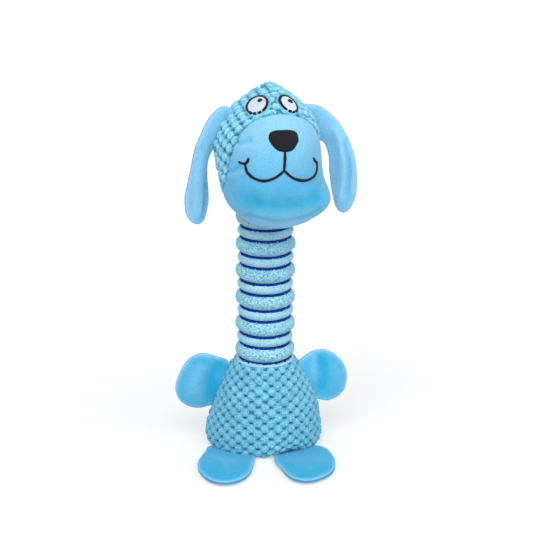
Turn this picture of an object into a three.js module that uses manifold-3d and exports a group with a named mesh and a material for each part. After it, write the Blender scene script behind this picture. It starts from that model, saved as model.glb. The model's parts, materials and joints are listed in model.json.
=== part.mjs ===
// A stuffed squeaky dog toy: a coned torso, a long ribbed neck and a soft head with hanging ears.
// Millimetres, +Z up. The toy looks along -Y and stands on the floor at z = 0, on its own centre.
// Left and right are the toy's own: its left side is +X.
import * as THREE from "three";
import { mergeVertices } from "three/addons/utils/BufferGeometryUtils.js";
import Module from "manifold-3d";

// Fabrics and fits
const SEAM_GAP = 0.3; // between sewn pieces and between layers
const COVER_THICKNESS = 2.5; // plush with its pile
const PLY_THICKNESS = 1.6; // one side of an arm or foot
const RIM_WIDTH = 2.5; // where the two plies of an arm or foot are sewn together
const STITCH_HEIGHT = 0.8; // embroidery above the plush

// Torso, a rounded cone with a flat base
const TORSO_HEIGHT = 75;
const TORSO_WIDTH = 94;
const TORSO_DEPTH = 82;
const TORSO_RIM_RADIUS = 20.5; // at the neck seam
const TORSO_RISE = [0, 0.02, 0.075, 0.17, 0.32, 0.52, 0.74, 0.91, 0.97, 1]; // shares of the height
const TORSO_SWELL = [0.68, 0.86, 0.98, 1, 0.9, 0.7, 0.44, 0.24, 0.11, 0]; // from the rim to full width
const BASE_THICKNESS = 2.5;

// Neck, a sleeve of wide and narrow ribs over two wads of stuffing
const RIB_PAIRS = 6;
const WIDE_RIB_HEIGHT = 13.25;
const NARROW_RIB_HEIGHT = 9.1;
const WIDE_RIB_RADIUS = 23;
const NARROW_RIB_RADIUS = 21.5;
const RIB_SHOULDER = 0.26; // share of a rib's height where it is full
const GROOVE_RADIUS = 19.7;
const GROOVE_HEIGHT = 0.9; // the line sewn between two ribs
const SLEEVE_BORE_RADIUS = 17.5;
const NECK_PLAY = 0.7; // round the neck's stuffing where it turns in another piece
const SWAY_HEIGHT = 5; // of the lower bending place above the torso
const NECK_BEND = 25; // degrees each way at both bending places
const BEND_PAIR = 2.5; // rib pairs below the upper bending place
const SLEEVE_TUCK = 4; // plain edge above the last rib, sewn inside the head
const CORE_IN_HEAD = 12; // neck stuffing above the sleeve

// Head, in its own frame: z = 0 at its underside, on the neck's axis
const HEAD_HEIGHT = 102;
const HEAD_WIDTH = 85;
const HEAD_REACH = 68; // from the neck's axis to the front of the muzzle
const HEAD_BACK = 39;
const HEAD_OVERLAP = 15.5; // of the sleeve's top above the chin
const HEAD_TURN = 14; // degrees to the toy's left
const HEAD_LEAN = 4; // of its top to the toy's left
const HEAD_RISE = [0, 0.03, 0.09, 0.19, 0.35, 0.52, 0.67, 0.79, 0.89, 0.96, 1];
const HEAD_SIDE = [0.14, 0.38, 0.67, 0.93, 0.99, 1, 0.93, 0.78, 0.57, 0.34, 0.08];
const HEAD_MIDDLE = [-0.42, -0.48, -0.52, -0.5, -0.36, -0.17, -0.08, -0.02, 0.02, 0.05, 0.07]; // of the reach
const HEAD_FRONT = [0.68, 0.81, 0.92, 0.985, 1, 0.985, 0.92, 0.79, 0.6, 0.37, 0.06];
const HEAD_NAPE = [-0.5, 0.05, 0.55, 0.82, 0.95, 1, 0.98, 0.9, 0.75, 0.52, 0.2];
const HEAD_CHEEK = 2.25; // above 2 a ring is fuller than an oval, below 2 it is pinched
const HEAD_NECKLINE = [2, 2, 2, 1.75, 1.7, 1.9, 2.1, 2.2, 2.2, 2.1, 2]; // the same, behind the cheeks
const PANEL_BACK = 6; // the smooth face panel ends this far in front of the neck's axis
const PANEL_BELOW_CROWN = 14; // of its top edge
const PANEL_HALF_WIDTHS = [
  [42, 78],
  [41, 62],
  [38, 45],
  [34, 27],
  [28, 13],
  [20, 5],
]; // half width of its edge, and how far below its top

// Face embroidery, as seen from the front of the head
const EYE_SPACING = 22.4;
const EYE_SHIFT = -1.8; // of both eyes towards the toy's right
const EYE_BELOW_CROWN = 10;
const EYE_LENGTH = 20;
const EYE_WIDTH = 16;
const EYE_TILT = 58; // degrees, outer ends down
const EYE_YAW = 20; // degrees that it looks sideways and up
const EYE_PITCH = 36;
const EYE_DEPTH = 12; // of the drawing through the head's surface
const EYE_RIM = 1.6;
const PUPIL_RADIUS = 2;
const PUPIL_RISE = 3.8;
const NOSE_BELOW_CROWN = 32;
const NOSE_WIDTH = 22.5;
const NOSE_LENGTH = 14.5;
const NOSE_THICKNESS = 1.8;
const NOSE_SIDE = [
  [0, 0.5],
  [0.8, 0.4],
  [1, 0.15],
  [0.55, -0.3],
  [0, -0.5],
]; // shares of the half width and of the length, down one side
const MOUTH_BELOW_NOSE = 22;
const MOUTH_WIDTH = 57;
const MOUTH_SAG = 7;
const MOUTH_CURL = [
  [0.5, 1],
  [0.92, 0.5],
]; // shares of the half width and of the sag, from the middle to a corner
const MOUTH_CORNER_RISE = 3.5;
const STITCH_WIDTH = 1.6;

// Arms and feet taper towards their ends. A fullness of 2 is an oval, more is squarer.
const FLAP_END = 0.4; // thickness of a flap's ends as a share of its middle
const FLAP_FULLNESS = 2.5;
const FLAP_TIP = 0.01; // share of the length that closes its round ends

// Arms, round flaps sewn into the side seams
const ARM_HEIGHT = 51; // of the middle of the seam
const ARM_LENGTH = 38.5;
const ARM_WIDTH = 45;
const ARM_FULLNESS = 2.1;
const ARM_ROOT = 10; // inside the seam before it is cut
const ARM_THICKNESS = 9;
const ARM_SEAM_SPAN = 1; // height over which the slope of the seam is taken
const ARM_SWING = { left: [-15, 70], right: [-40, 40] }; // degrees, forwards is more
const ARM_SET_BACK = { left: 26, right: 0 }; // degrees
const ARM_DROOP = { left: 4, right: 20 }; // degrees

// Feet, flat oval flaps sewn to the lower front edge
const FOOT_SPREAD = 29; // of the root's middle from the centre
const FOOT_SPLAY = 4; // degrees
const FOOT_LENGTH = 58.5;
const FOOT_WIDTH = 47;
const FOOT_FULLNESS = 2.4;
const FOOT_ROOT = 10;
const FOOT_THICKNESS = 8;
const FOOT_SEAM_HEIGHT = 3.6;
const FOOT_SOLE_FLAT = 0.5; // cut from the sole so that it lies flat
const FOOT_FOLD = 45; // degrees, upwards

// Ears, long lobes that hang from the sides of the head
const EAR_HEIGHT = 78; // of the root above the head's underside
const EAR_TURN = 14; // degrees that the outer edge lies forwards
const EAR_LENGTH = 85;
const EAR_WIDTH = 24;
const EAR_THICKNESS = 7;
const EAR_OUTWARD = [-9, 2, 10, 14, 16.5, 18, 18]; // its middle line, from the root to the tip
const EAR_DOWN = [-0.07, 0.03, 0.17, 0.32, 0.51, 0.74, 1]; // shares of the length
const EAR_SWELL = [0.8, 0.86, 0.86, 0.86, 0.94, 1, 0.9];
const EAR_TIP = 0.16; // the share of the length that is rounded off
const EAR_FLOP = [-3, 65]; // degrees, outwards is more
const EAR_LIFT = { left: 7, right: 3 }; // degrees

// Squeaker, a blown bulb with a reed whistle in its mouth
const BULB_RADIUS = 18;
const BULB_HEIGHT = 22;
const BULB_WALL = 1;
const BULB_SHOULDER = 60; // degrees up from its waist, where its mouth begins
const BULB_FLOOR = 12; // above the toy's base
const MOUTH_BORE = 5.3;
const MOUTH_NECK = 2.5;
const WHISTLE_FLANGE = 1.6;
const WHISTLE_BORE = 3.4;
const WHISTLE_STEM = 7;
const REED_WIDTH = 4;
const REED_LENGTH = 7;
const REED_THICKNESS = 0.4;
const POCKET_HEADROOM = 2;
const POCKET_THROAT = 9;

// Faceting
const BODY_SEGMENTS = 24;
const BODY_RINGS = 13;
const LIMB_SEGMENTS = 12;
const LIMB_RINGS = 9;
const TURNED_SEGMENTS = 18;
const ARC_STEP = 15; // degrees between the rings of a ball
const BULB_ARC_STEP = 30;
const SWEEP_STEP = 15; // degrees between the places where a flap is cleared
const OUTLINE_STEPS = 24;
const MOUTH_STEPS = 36;
const EYE_SEGMENTS = 18;
const PUPIL_SEGMENTS = 10;
const SEARCH_STEPS = 400;
const SAME_POINT = 1e-4; // points closer than this are one

// Finishes
const DIMPLE_PLUSH = { color: 0x86cae2, roughness: 0.95 };
const SMOOTH_PLUSH = { color: 0x86c2f0, roughness: 0.95 };
const RIB_PLUSH = { color: 0x9fd0e4, roughness: 0.95 };
const FIBRE = { color: 0xf1f1ec, roughness: 1 };
const BLACK_THREAD = { color: 0x232329, roughness: 0.6 };
const WHITE_THREAD = { color: 0xdfe4f4, roughness: 0.6 };
const SQUEAKER_PLASTIC = { color: 0xe9ecec, roughness: 0.4 };
const REED_PLASTIC = { color: 0xc9a44a, roughness: 0.35 };

const FAR = 400; // longer than the toy, for cutting blocks
const SIDES = [["left", 1], ["right", -1]];
const wasm = await Module();
wasm.setup();

// Turns a closed geometry into a solid that can be joined and cut.
function solid(geometry) {
  const plain = geometry.clone();
  plain.deleteAttribute("normal");
  plain.deleteAttribute("uv");
  const merged = mergeVertices(plain, SAME_POINT);
  const vertProperties = new Float32Array(merged.attributes.position.array);
  const triVerts = new Uint32Array(merged.index.array);
  return new wasm.Manifold(new wasm.Mesh({ numProp: 3, vertProperties, triVerts }));
}

// Gives a solid back as a flat-shaded geometry.
function geometryOf(body) {
  const result = body.getMesh();
  const geometry = new THREE.BufferGeometry();
  geometry.setAttribute("position", new THREE.BufferAttribute(result.vertProperties, 3));
  geometry.setIndex(new THREE.BufferAttribute(result.triVerts, 1));
  const flat = geometry.toNonIndexed();
  flat.computeVertexNormals();
  return flat;
}

function piece(name, body, finish) {
  const material = new THREE.MeshStandardMaterial({ ...finish, metalness: 0 });
  const mesh = new THREE.Mesh(geometryOf(body), material);
  mesh.name = name;
  return mesh;
}

const radians = THREE.MathUtils.degToRad;

// A smooth value through hand-set shares, with t from 0 to 1.
function smooth(values, t) {
  const curve = new THREE.SplineCurve(values.map((value, i) => new THREE.Vector2(i, value)));
  return curve.getPoint(t).y;
}

// The place in an even list of shares where it first reaches the wanted value.
function placeOf(values, wanted) {
  for (let i = 0; i <= SEARCH_STEPS; i++) {
    if (smooth(values, i / SEARCH_STEPS) >= wanted) return i / SEARCH_STEPS;
  }
  return 1;
}

// A closed form through oval rings. Each station has a centre, two directions and its half sizes.
function loft(stations, segments) {
  const points = [];
  const faces = [];
  const fuller = (share, power) => Math.sign(share) * Math.abs(share) ** (2 / power);
  for (const { centre, side, face, half, rise, drop, power = 2, risePower = power } of stations) {
    for (let i = 0; i < segments; i++) {
      const angle = (2 * Math.PI * i) / segments;
      const rising = i < segments / 2;
      const across = fuller(Math.cos(angle), rising ? risePower : power);
      const deep = fuller(Math.sin(angle), rising ? risePower : power);
      const point = centre.clone().addScaledVector(side, half * across);
      points.push(point.addScaledVector(face, deep * (rising ? rise : drop)));
    }
  }
  const first = points.length;
  const last = first + 1;
  points.push(stations[0].centre, stations[stations.length - 1].centre);
  for (let i = 0; i < segments; i++) {
    const next = (i + 1) % segments;
    faces.push(first, next, i);
    for (let k = 0; k + 1 < stations.length; k++) {
      const low = k * segments;
      const high = low + segments;
      faces.push(low + i, low + next, high + next);
      faces.push(low + i, high + next, high + i);
    }
    const top = (stations.length - 1) * segments;
    faces.push(last, top + i, top + next);
  }
  const geometry = new THREE.BufferGeometry().setFromPoints(points);
  geometry.setIndex(faces);
  return geometry;
}

// The same form with its surface moved outwards, or inwards for a negative distance.
function grown(geometry, distance) {
  const result = geometry.clone();
  result.computeVertexNormals();
  const place = result.attributes.position;
  const normal = result.attributes.normal;
  for (let i = 0; i < place.count; i++) {
    place.setXYZ(
      i,
      place.getX(i) + distance * normal.getX(i),
      place.getY(i) + distance * normal.getY(i),
      place.getZ(i) + distance * normal.getZ(i),
    );
  }
  return result;
}

// A cutting block between two corners.
function block(low, high) {
  const size = new THREE.Vector3().subVectors(high, low);
  const geometry = new THREE.BoxGeometry(size.x, size.y, size.z);
  geometry.translate((low.x + high.x) / 2, (low.y + high.y) / 2, (low.z + high.z) / 2);
  return solid(geometry);
}

const everythingAbove = (z) => block(new THREE.Vector3(-FAR, -FAR, z), new THREE.Vector3(FAR, FAR, FAR));
const everythingBelow = (z) => block(new THREE.Vector3(-FAR, -FAR, -FAR), new THREE.Vector3(FAR, FAR, z));

// A turned form about the Z axis; its profile closes on itself or on the axis.
function turned(profile) {
  const points = profile.map(([radius, height]) => new THREE.Vector2(radius, height));
  return solid(new THREE.LatheGeometry(points, TURNED_SEGMENTS).rotateX(Math.PI / 2));
}

function pillar(radius, low, high) {
  return turned([
    [0, low],
    [radius, low],
    [radius, high],
    [0, high],
  ]);
}

// Points of an arc in a turned profile, with angles in degrees up from the level.
function arc(radius, height, from, to, { rise = radius, step = ARC_STEP } = {}) {
  const points = [];
  const steps = Math.ceil(Math.abs(to - from) / step);
  for (let i = 0; i <= steps; i++) {
    const angle = radians(from + ((to - from) * i) / steps);
    points.push([Math.max(0, radius * Math.cos(angle)), height + rise * Math.sin(angle)]);
  }
  return points;
}

const ball = (radius, height) => turned(arc(radius, height, -90, 90));

// A prism of the given depth towards -Y, drawn as seen from the front: x is +X and y is up.
function prism(points, depth) {
  const geometry = new THREE.ExtrudeGeometry(new THREE.Shape(points), { depth, bevelEnabled: false });
  return geometry.rotateX(Math.PI / 2);
}

const frontPrism = (points) => solid(prism(points, FAR));

// The other half of an outline that is drawn on one side of the middle
const mirrored = (points) => points.map(({ x, y }) => new THREE.Vector2(-x, y)).reverse();

// Heights that the pieces share
const SLEEVE_LOW = TORSO_HEIGHT + SEAM_GAP;
const RIB_PITCH = WIDE_RIB_HEIGHT + NARROW_RIB_HEIGHT;
const RIBS_HIGH = SLEEVE_LOW + RIB_PAIRS * RIB_PITCH;
const SLEEVE_HIGH = RIBS_HIGH + SLEEVE_TUCK;
const HEAD_LOW = SLEEVE_HIGH - HEAD_OVERLAP;
const SWAY_Z = TORSO_HEIGHT + SWAY_HEIGHT;
const BEND_Z = SLEEVE_LOW + BEND_PAIR * RIB_PITCH;
const CORE_RADIUS = SLEEVE_BORE_RADIUS - SEAM_GAP;
const SOCKET_RADIUS = CORE_RADIUS + NECK_PLAY;
const CORE_TOP = SLEEVE_HIGH + CORE_IN_HEAD;

// Heights in the head's frame
const PANEL_TOP = HEAD_HEIGHT - PANEL_BELOW_CROWN;
const EYE_HEIGHT = HEAD_HEIGHT - EYE_BELOW_CROWN;
const NOSE_HEIGHT = HEAD_HEIGHT - NOSE_BELOW_CROWN;
const MOUTH_HEIGHT = NOSE_HEIGHT - MOUTH_BELOW_NOSE;

const toy = new THREE.Group();
toy.name = "squeaky_dog_toy";

// Torso
const along = new THREE.Vector3(0, 0, 1);
const sideways = new THREE.Vector3(1, 0, 0);
const backwards = new THREE.Vector3(0, 1, 0);

function torsoStation(t) {
  const swell = smooth(TORSO_SWELL, t);
  const half = TORSO_RIM_RADIUS + swell * (TORSO_WIDTH / 2 - TORSO_RIM_RADIUS);
  const deep = TORSO_RIM_RADIUS + swell * (TORSO_DEPTH / 2 - TORSO_RIM_RADIUS);
  const centre = new THREE.Vector3(0, 0, TORSO_HEIGHT * smooth(TORSO_RISE, t));
  return { centre, side: sideways, face: backwards, half, rise: deep, drop: deep };
}

function evenly(count, station) {
  return Array.from({ length: count }, (_, i) => station(i / (count - 1)));
}

const torsoForm = loft(evenly(BODY_RINGS, torsoStation), BODY_SEGMENTS);
const torsoAt = (height) => torsoStation(placeOf(TORSO_RISE, height / TORSO_HEIGHT));

function buildTorso() {
  const outside = solid(torsoForm);
  const hollow = solid(grown(torsoForm, -COVER_THICKNESS)).add(
    pillar(TORSO_RIM_RADIUS - COVER_THICKNESS, TORSO_HEIGHT / 2, FAR),
  );
  const cover = outside.subtract(hollow).intersect(everythingAbove(BASE_THICKNESS + SEAM_GAP));
  const behind = block(new THREE.Vector3(-FAR, SEAM_GAP / 2, -FAR), new THREE.Vector3(FAR, FAR, FAR));
  const before = block(new THREE.Vector3(-FAR, -FAR, -FAR), new THREE.Vector3(FAR, -SEAM_GAP / 2, FAR));
  toy.add(piece("torso_front_cover", cover.intersect(before), DIMPLE_PLUSH));
  toy.add(piece("torso_back_cover", cover.intersect(behind), DIMPLE_PLUSH));
  toy.add(piece("torso_base_panel", outside.intersect(everythingBelow(BASE_THICKNESS)), DIMPLE_PLUSH));

  const pocketTop = BULB_FLOOR + BULB_HEIGHT + MOUTH_NECK + WHISTLE_FLANGE + POCKET_HEADROOM;
  const pocket = pillar(BULB_RADIUS + SEAM_GAP, BULB_FLOOR - SEAM_GAP, pocketTop);
  const throat = pillar(POCKET_THROAT, BULB_FLOOR, SWAY_Z);
  const stuffing = solid(grown(torsoForm, -COVER_THICKNESS - SEAM_GAP))
    .intersect(everythingAbove(BASE_THICKNESS + SEAM_GAP))
    .subtract(ball(SOCKET_RADIUS, SWAY_Z))
    .subtract(pocket.add(throat));
  toy.add(piece("torso_stuffing", stuffing, FIBRE));
}

// Squeaker, standing in its pocket in the torso
function buildSqueaker() {
  const squeaker = new THREE.Group();
  squeaker.position.z = BULB_FLOOR;
  const waist = BULB_HEIGHT / 2;
  const mouthTop = BULB_HEIGHT + MOUTH_NECK;
  const outer = arc(BULB_RADIUS, waist, -90, BULB_SHOULDER, { rise: waist, step: BULB_ARC_STEP });
  const inside = { rise: waist - BULB_WALL, step: BULB_ARC_STEP };
  const inner = arc(BULB_RADIUS - BULB_WALL, waist, BULB_SHOULDER, -90, inside);
  const bulb = turned([
    ...outer,
    [MOUTH_BORE + BULB_WALL, BULB_HEIGHT],
    [MOUTH_BORE + BULB_WALL, mouthTop],
    [MOUTH_BORE, mouthTop],
    [MOUTH_BORE, BULB_HEIGHT - BULB_WALL],
    ...inner,
  ]);
  squeaker.add(piece("squeaker_bulb", bulb, SQUEAKER_PLASTIC));

  const flangeLow = mouthTop + SEAM_GAP;
  const stemLow = mouthTop - WHISTLE_STEM;
  const whistle = turned([
    [WHISTLE_BORE, stemLow],
    [MOUTH_BORE - SEAM_GAP, stemLow],
    [MOUTH_BORE - SEAM_GAP, flangeLow],
    [MOUTH_BORE + BULB_WALL, flangeLow],
    [MOUTH_BORE + BULB_WALL, flangeLow + WHISTLE_FLANGE],
    [WHISTLE_BORE, flangeLow + WHISTLE_FLANGE],
    [WHISTLE_BORE, stemLow],
  ]);
  squeaker.add(piece("squeaker_whistle", whistle, SQUEAKER_PLASTIC));

  const behind = block(new THREE.Vector3(-FAR, 0, -FAR), new THREE.Vector3(FAR, FAR, FAR));
  const holder = pillar(WHISTLE_BORE - SEAM_GAP, stemLow, flangeLow + WHISTLE_FLANGE).intersect(behind);
  squeaker.add(piece("squeaker_reed_holder", holder, SQUEAKER_PLASTIC));

  const reedLow = flangeLow + WHISTLE_FLANGE - REED_LENGTH;
  const reed = block(
    new THREE.Vector3(-REED_WIDTH / 2, -SEAM_GAP - REED_THICKNESS, reedLow),
    new THREE.Vector3(REED_WIDTH / 2, -SEAM_GAP, reedLow + REED_LENGTH),
  );
  squeaker.add(piece("squeaker_reed", reed, REED_PLASTIC));
  toy.add(squeaker);
}

// Neck: one ribbed sleeve, and the stuffing under it in two wads that bend on each other
function ribProfile(low, height, radius) {
  const flank = GROOVE_HEIGHT / 2;
  const shoulder = RIB_SHOULDER * height;
  return [
    [GROOVE_RADIUS, low + flank],
    [radius, low + shoulder],
    [radius, low + height - shoulder],
    [GROOVE_RADIUS, low + height - flank],
  ];
}

function buildNeck() {
  const outline = [];
  let low = SLEEVE_LOW;
  for (let pair = 0; pair < RIB_PAIRS; pair++) {
    outline.push(...ribProfile(low, WIDE_RIB_HEIGHT, WIDE_RIB_RADIUS));
    outline.push(...ribProfile(low + WIDE_RIB_HEIGHT, NARROW_RIB_HEIGHT, NARROW_RIB_RADIUS));
    low += RIB_PITCH;
  }
  const sleeve = turned([
    [SLEEVE_BORE_RADIUS, SLEEVE_LOW],
    [GROOVE_RADIUS, SLEEVE_LOW],
    ...outline,
    [GROOVE_RADIUS, SLEEVE_HIGH],
    [SLEEVE_BORE_RADIUS, SLEEVE_HIGH],
    [SLEEVE_BORE_RADIUS, SLEEVE_LOW],
  ]);
  toy.add(piece("neck_sleeve", sleeve, RIB_PLUSH));

  // The rim of the lower wad stays below the upper wad's edge when that is bent all the way.
  const rimZ = BEND_Z - CORE_RADIUS * Math.sin(radians(NECK_BEND)) - NECK_PLAY;
  const lower = turned([
    ...arc(CORE_RADIUS, SWAY_Z, -90, 0),
    [CORE_RADIUS, rimZ],
    [0, rimZ],
  ]).subtract(ball(SOCKET_RADIUS, BEND_Z));
  toy.add(piece("neck_stuffing_lower", lower, FIBRE));

  const upper = turned([
    ...arc(CORE_RADIUS, BEND_Z, -90, 0),
    ...arc(CORE_RADIUS, CORE_TOP - CORE_RADIUS, 0, 90),
  ]);
  toy.add(piece("neck_stuffing_upper", upper, FIBRE));
}

// Head
function headStation(t) {
  const middle = HEAD_REACH * smooth(HEAD_MIDDLE, t);
  const share = smooth(HEAD_RISE, t);
  const centre = new THREE.Vector3(HEAD_LEAN * share ** 2, middle, HEAD_HEIGHT * share);
  const half = (HEAD_WIDTH / 2) * smooth(HEAD_SIDE, t);
  const rise = HEAD_BACK * smooth(HEAD_NAPE, t) - middle;
  const drop = middle + HEAD_REACH * smooth(HEAD_FRONT, t);
  const power = HEAD_CHEEK;
  const risePower = smooth(HEAD_NECKLINE, t);
  return { centre, side: sideways, face: backwards, half, rise, drop, power, risePower };
}

const headForm = loft(evenly(BODY_RINGS, headStation), BODY_SEGMENTS);
const headAt = (height) => headStation(placeOf(HEAD_RISE, height / HEAD_HEIGHT));
const head = new THREE.Group();
head.name = "head";
head.position.z = HEAD_LOW;
head.rotation.z = radians(HEAD_TURN);
toy.add(head);

// The space that the face panel takes, drawn as seen from the front
function panelBlock(inset) {
  const edge = PANEL_HALF_WIDTHS.map(([x, below]) => new THREE.Vector2(x - inset, PANEL_TOP - below));
  const top = new THREE.Vector2(0, PANEL_TOP - inset);
  const curve = new THREE.SplineCurve([...edge, top, ...mirrored(edge)]);
  const below = [new THREE.Vector2(-edge[0].x, -FAR), new THREE.Vector2(edge[0].x, -FAR)];
  const front = block(new THREE.Vector3(-FAR, -FAR, -FAR), new THREE.Vector3(FAR, -PANEL_BACK - inset, FAR));
  return frontPrism([...below, ...curve.getPoints(OUTLINE_STEPS)]).intersect(front);
}

// The room that the sleeve takes in the head, in the head's frame
function sleeveRoom() {
  const wideHigh = RIBS_HIGH - NARROW_RIB_HEIGHT - HEAD_LOW;
  return pillar(WIDE_RIB_RADIUS + SEAM_GAP, -FAR, wideHigh + SEAM_GAP)
    .add(pillar(NARROW_RIB_RADIUS + SEAM_GAP, -FAR, RIBS_HIGH - HEAD_LOW + SEAM_GAP))
    .add(pillar(GROOVE_RADIUS + SEAM_GAP, -FAR, SLEEVE_HIGH - HEAD_LOW + SEAM_GAP));
}

function buildHead() {
  const opening = sleeveRoom();
  const hollow = solid(grown(headForm, -COVER_THICKNESS));
  const shell = solid(headForm).subtract(hollow).subtract(opening);
  head.add(piece("head_cover", shell.subtract(panelBlock(0)), DIMPLE_PLUSH));
  head.add(piece("muzzle_cover", shell.intersect(panelBlock(SEAM_GAP)), SMOOTH_PLUSH));

  const coreTop = CORE_TOP - HEAD_LOW;
  const domeZ = coreTop - CORE_RADIUS;
  const bore = pillar(SOCKET_RADIUS, -FAR, domeZ).add(ball(SOCKET_RADIUS, domeZ));
  const stuffing = solid(grown(headForm, -COVER_THICKNESS - SEAM_GAP)).subtract(opening).subtract(bore);
  head.add(piece("head_stuffing", stuffing, FIBRE));
}

// A layer that lies on the head between two distances from its surface
function layer(inner, outer) {
  const front = block(new THREE.Vector3(-FAR, -FAR, -FAR), new THREE.Vector3(FAR, -PANEL_BACK, FAR));
  return solid(grown(headForm, outer)).subtract(solid(grown(headForm, inner))).intersect(front);
}

// An oval that may sit above the middle, with its tilt in degrees
function oval(above, halfLength, halfWidth, tilt, steps) {
  const curve = new THREE.EllipseCurve(0, above, halfLength, halfWidth, 0, 2 * Math.PI, false, radians(tilt));
  return curve.getPoints(steps).slice(0, -1);
}

// Where the front of the head lies at a place seen from the front
function faceY(x, z) {
  const { centre, half, drop, power } = headAt(z);
  const share = Math.abs((x - centre.x) / half) ** power;
  return centre.y - drop * (1 - share) ** (1 / power);
}

function buildEyes() {
  const low = SEAM_GAP;
  const high = low + STITCH_HEIGHT;
  const thread = layer(low, high);
  const pupilLayer = layer(high + SEAM_GAP, high + SEAM_GAP + STITCH_HEIGHT);
  for (const [name, sign] of SIDES) {
    const x = EYE_SHIFT + (sign * EYE_SPACING) / 2;
    const place = new THREE.Matrix4().makeTranslation(x, faceY(x, EYE_HEIGHT), EYE_HEIGHT);
    place.multiply(new THREE.Matrix4().makeRotationZ(radians(sign * EYE_YAW)));
    place.multiply(new THREE.Matrix4().makeRotationX(radians(-EYE_PITCH)));
    const through = (points) => {
      const drawing = prism(points, EYE_DEPTH).translate(0, EYE_DEPTH / 2, 0);
      return solid(drawing.applyMatrix4(place));
    };
    const shape = (inset) => {
      const outline = oval(0, EYE_LENGTH / 2 - inset, EYE_WIDTH / 2 - inset, -sign * EYE_TILT, EYE_SEGMENTS);
      return through(outline);
    };
    const rim = shape(0).subtract(shape(EYE_RIM));
    const pupil = through(oval(PUPIL_RISE, PUPIL_RADIUS, PUPIL_RADIUS, 0, PUPIL_SEGMENTS));
    head.add(piece(`${name}_eye_rim`, thread.intersect(rim), BLACK_THREAD));
    head.add(piece(`${name}_eye_white`, thread.intersect(shape(EYE_RIM + SEAM_GAP)), WHITE_THREAD));
    head.add(piece(`${name}_pupil`, pupilLayer.intersect(pupil), BLACK_THREAD));
  }
}

// A line of stitches along a curve, drawn as seen from the front
function stroke(curve, steps) {
  const left = [];
  const right = [];
  for (let i = 0; i <= steps; i++) {
    const point = curve.getPoint(i / steps);
    const tangent = curve.getTangent(i / steps);
    const across = new THREE.Vector2(-tangent.y, tangent.x).multiplyScalar(STITCH_WIDTH / 2);
    left.push(point.clone().add(across));
    right.unshift(point.clone().sub(across));
  }
  return frontPrism([...left, ...right]);
}

function buildNoseAndMouth() {
  const noseSide = NOSE_SIDE.map(
    ([across, up]) => new THREE.Vector2((across * NOSE_WIDTH) / 2, NOSE_HEIGHT + up * NOSE_LENGTH),
  );
  const noseEdge = new THREE.SplineCurve([...noseSide, ...mirrored(noseSide).slice(1)]);
  const nose = frontPrism(noseEdge.getPoints(OUTLINE_STEPS).slice(0, -1));
  const patch = layer(SEAM_GAP, SEAM_GAP + NOSE_THICKNESS);
  head.add(piece("nose_patch", patch.intersect(nose), BLACK_THREAD));

  const reach = MOUTH_WIDTH / 2;
  const middle = new THREE.Vector2(0, MOUTH_HEIGHT);
  const corner = new THREE.Vector2(reach, MOUTH_HEIGHT + MOUTH_CORNER_RISE);
  const curl = MOUTH_CURL.map(
    ([across, down]) => new THREE.Vector2(across * reach, MOUTH_HEIGHT - down * MOUTH_SAG),
  );
  const lip = [...curl, corner];
  const smile = new THREE.SplineCurve([...mirrored(lip), middle, ...lip]);
  const underNose = new THREE.Vector2(0, NOSE_HEIGHT - NOSE_LENGTH / 2 - SEAM_GAP);
  const lines = stroke(smile, MOUTH_STEPS).add(stroke(new THREE.LineCurve(middle, underNose), 1));
  const thread = layer(SEAM_GAP, SEAM_GAP + STITCH_HEIGHT);
  head.add(piece("mouth_stitching", thread.intersect(lines), BLACK_THREAD));
}

// A flap in its own frame: its middle line lies in the XY plane and its faces look along Z.
// With an inset it is the smaller form inside the plies, clear of the rim where they are sewn.
function flapForm({ middle, width, half, rise, drop, taper }, inset = 0) {
  const plan = inset > 0 ? 1 - (2 * (inset + RIM_WIDTH)) / width : 1;
  const face = new THREE.Vector3(0, 0, 1);
  const stations = evenly(LIMB_RINGS, (t) => {
    const u = THREE.MathUtils.lerp(FLAP_TIP, 1 - FLAP_TIP, (1 - Math.cos(Math.PI * t)) / 2);
    const place = 0.5 + plan * (u - 0.5);
    const point = middle.getPoint(place);
    const tangent = middle.getTangent(place);
    return {
      centre: new THREE.Vector3(point.x, point.y, 0),
      side: new THREE.Vector3(-tangent.y, tangent.x, 0),
      face,
      half: plan * half(u),
      rise: (rise - inset) * taper(u),
      drop: (drop - inset) * taper(u),
    };
  });
  return loft(stations, LIMB_SEGMENTS);
}

// All that a neighbour fills, seen from a flap that turns about an axis through its own origin.
function swept(neighbour, axis, [from, to]) {
  const steps = Math.max(1, Math.ceil((to - from) / SWEEP_STEP));
  let filled = solid(neighbour);
  for (let i = 0; i <= steps; i++) {
    const angle = radians(from + ((to - from) * i) / steps);
    const turn = new THREE.Matrix4().makeRotationAxis(axis, -angle);
    filled = filled.add(solid(neighbour.clone().applyMatrix4(turn)));
  }
  return filled;
}

const overSeam = block(new THREE.Vector3(-FAR, -FAR, SEAM_GAP / 2), new THREE.Vector3(FAR, FAR, FAR));
const underSeam = block(new THREE.Vector3(-FAR, -FAR, -FAR), new THREE.Vector3(FAR, FAR, -SEAM_GAP / 2));

// The two plies of a flap and the thin wadding between them, cut back to the room that is left.
function layers(shape, taken) {
  const shell = solid(flapForm(shape)).subtract(solid(flapForm(shape, PLY_THICKNESS))).subtract(taken);
  const wadding = solid(flapForm(shape, PLY_THICKNESS + SEAM_GAP)).subtract(taken);
  return { upper: shell.intersect(overSeam), lower: shell.intersect(underSeam), wadding };
}

// The frame of a flap: its X axis leads away from the seam and its faces look along Z.
function flapGroup(name, place, outward, face) {
  const across = new THREE.Vector3().crossVectors(face, outward);
  const group = new THREE.Group();
  group.name = name;
  group.applyMatrix4(new THREE.Matrix4().makeBasis(outward, across, face).setPosition(place));
  return group;
}

function seenFrom(group, geometry) {
  group.updateMatrix();
  return geometry.clone().applyMatrix4(group.matrix.clone().invert());
}

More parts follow.
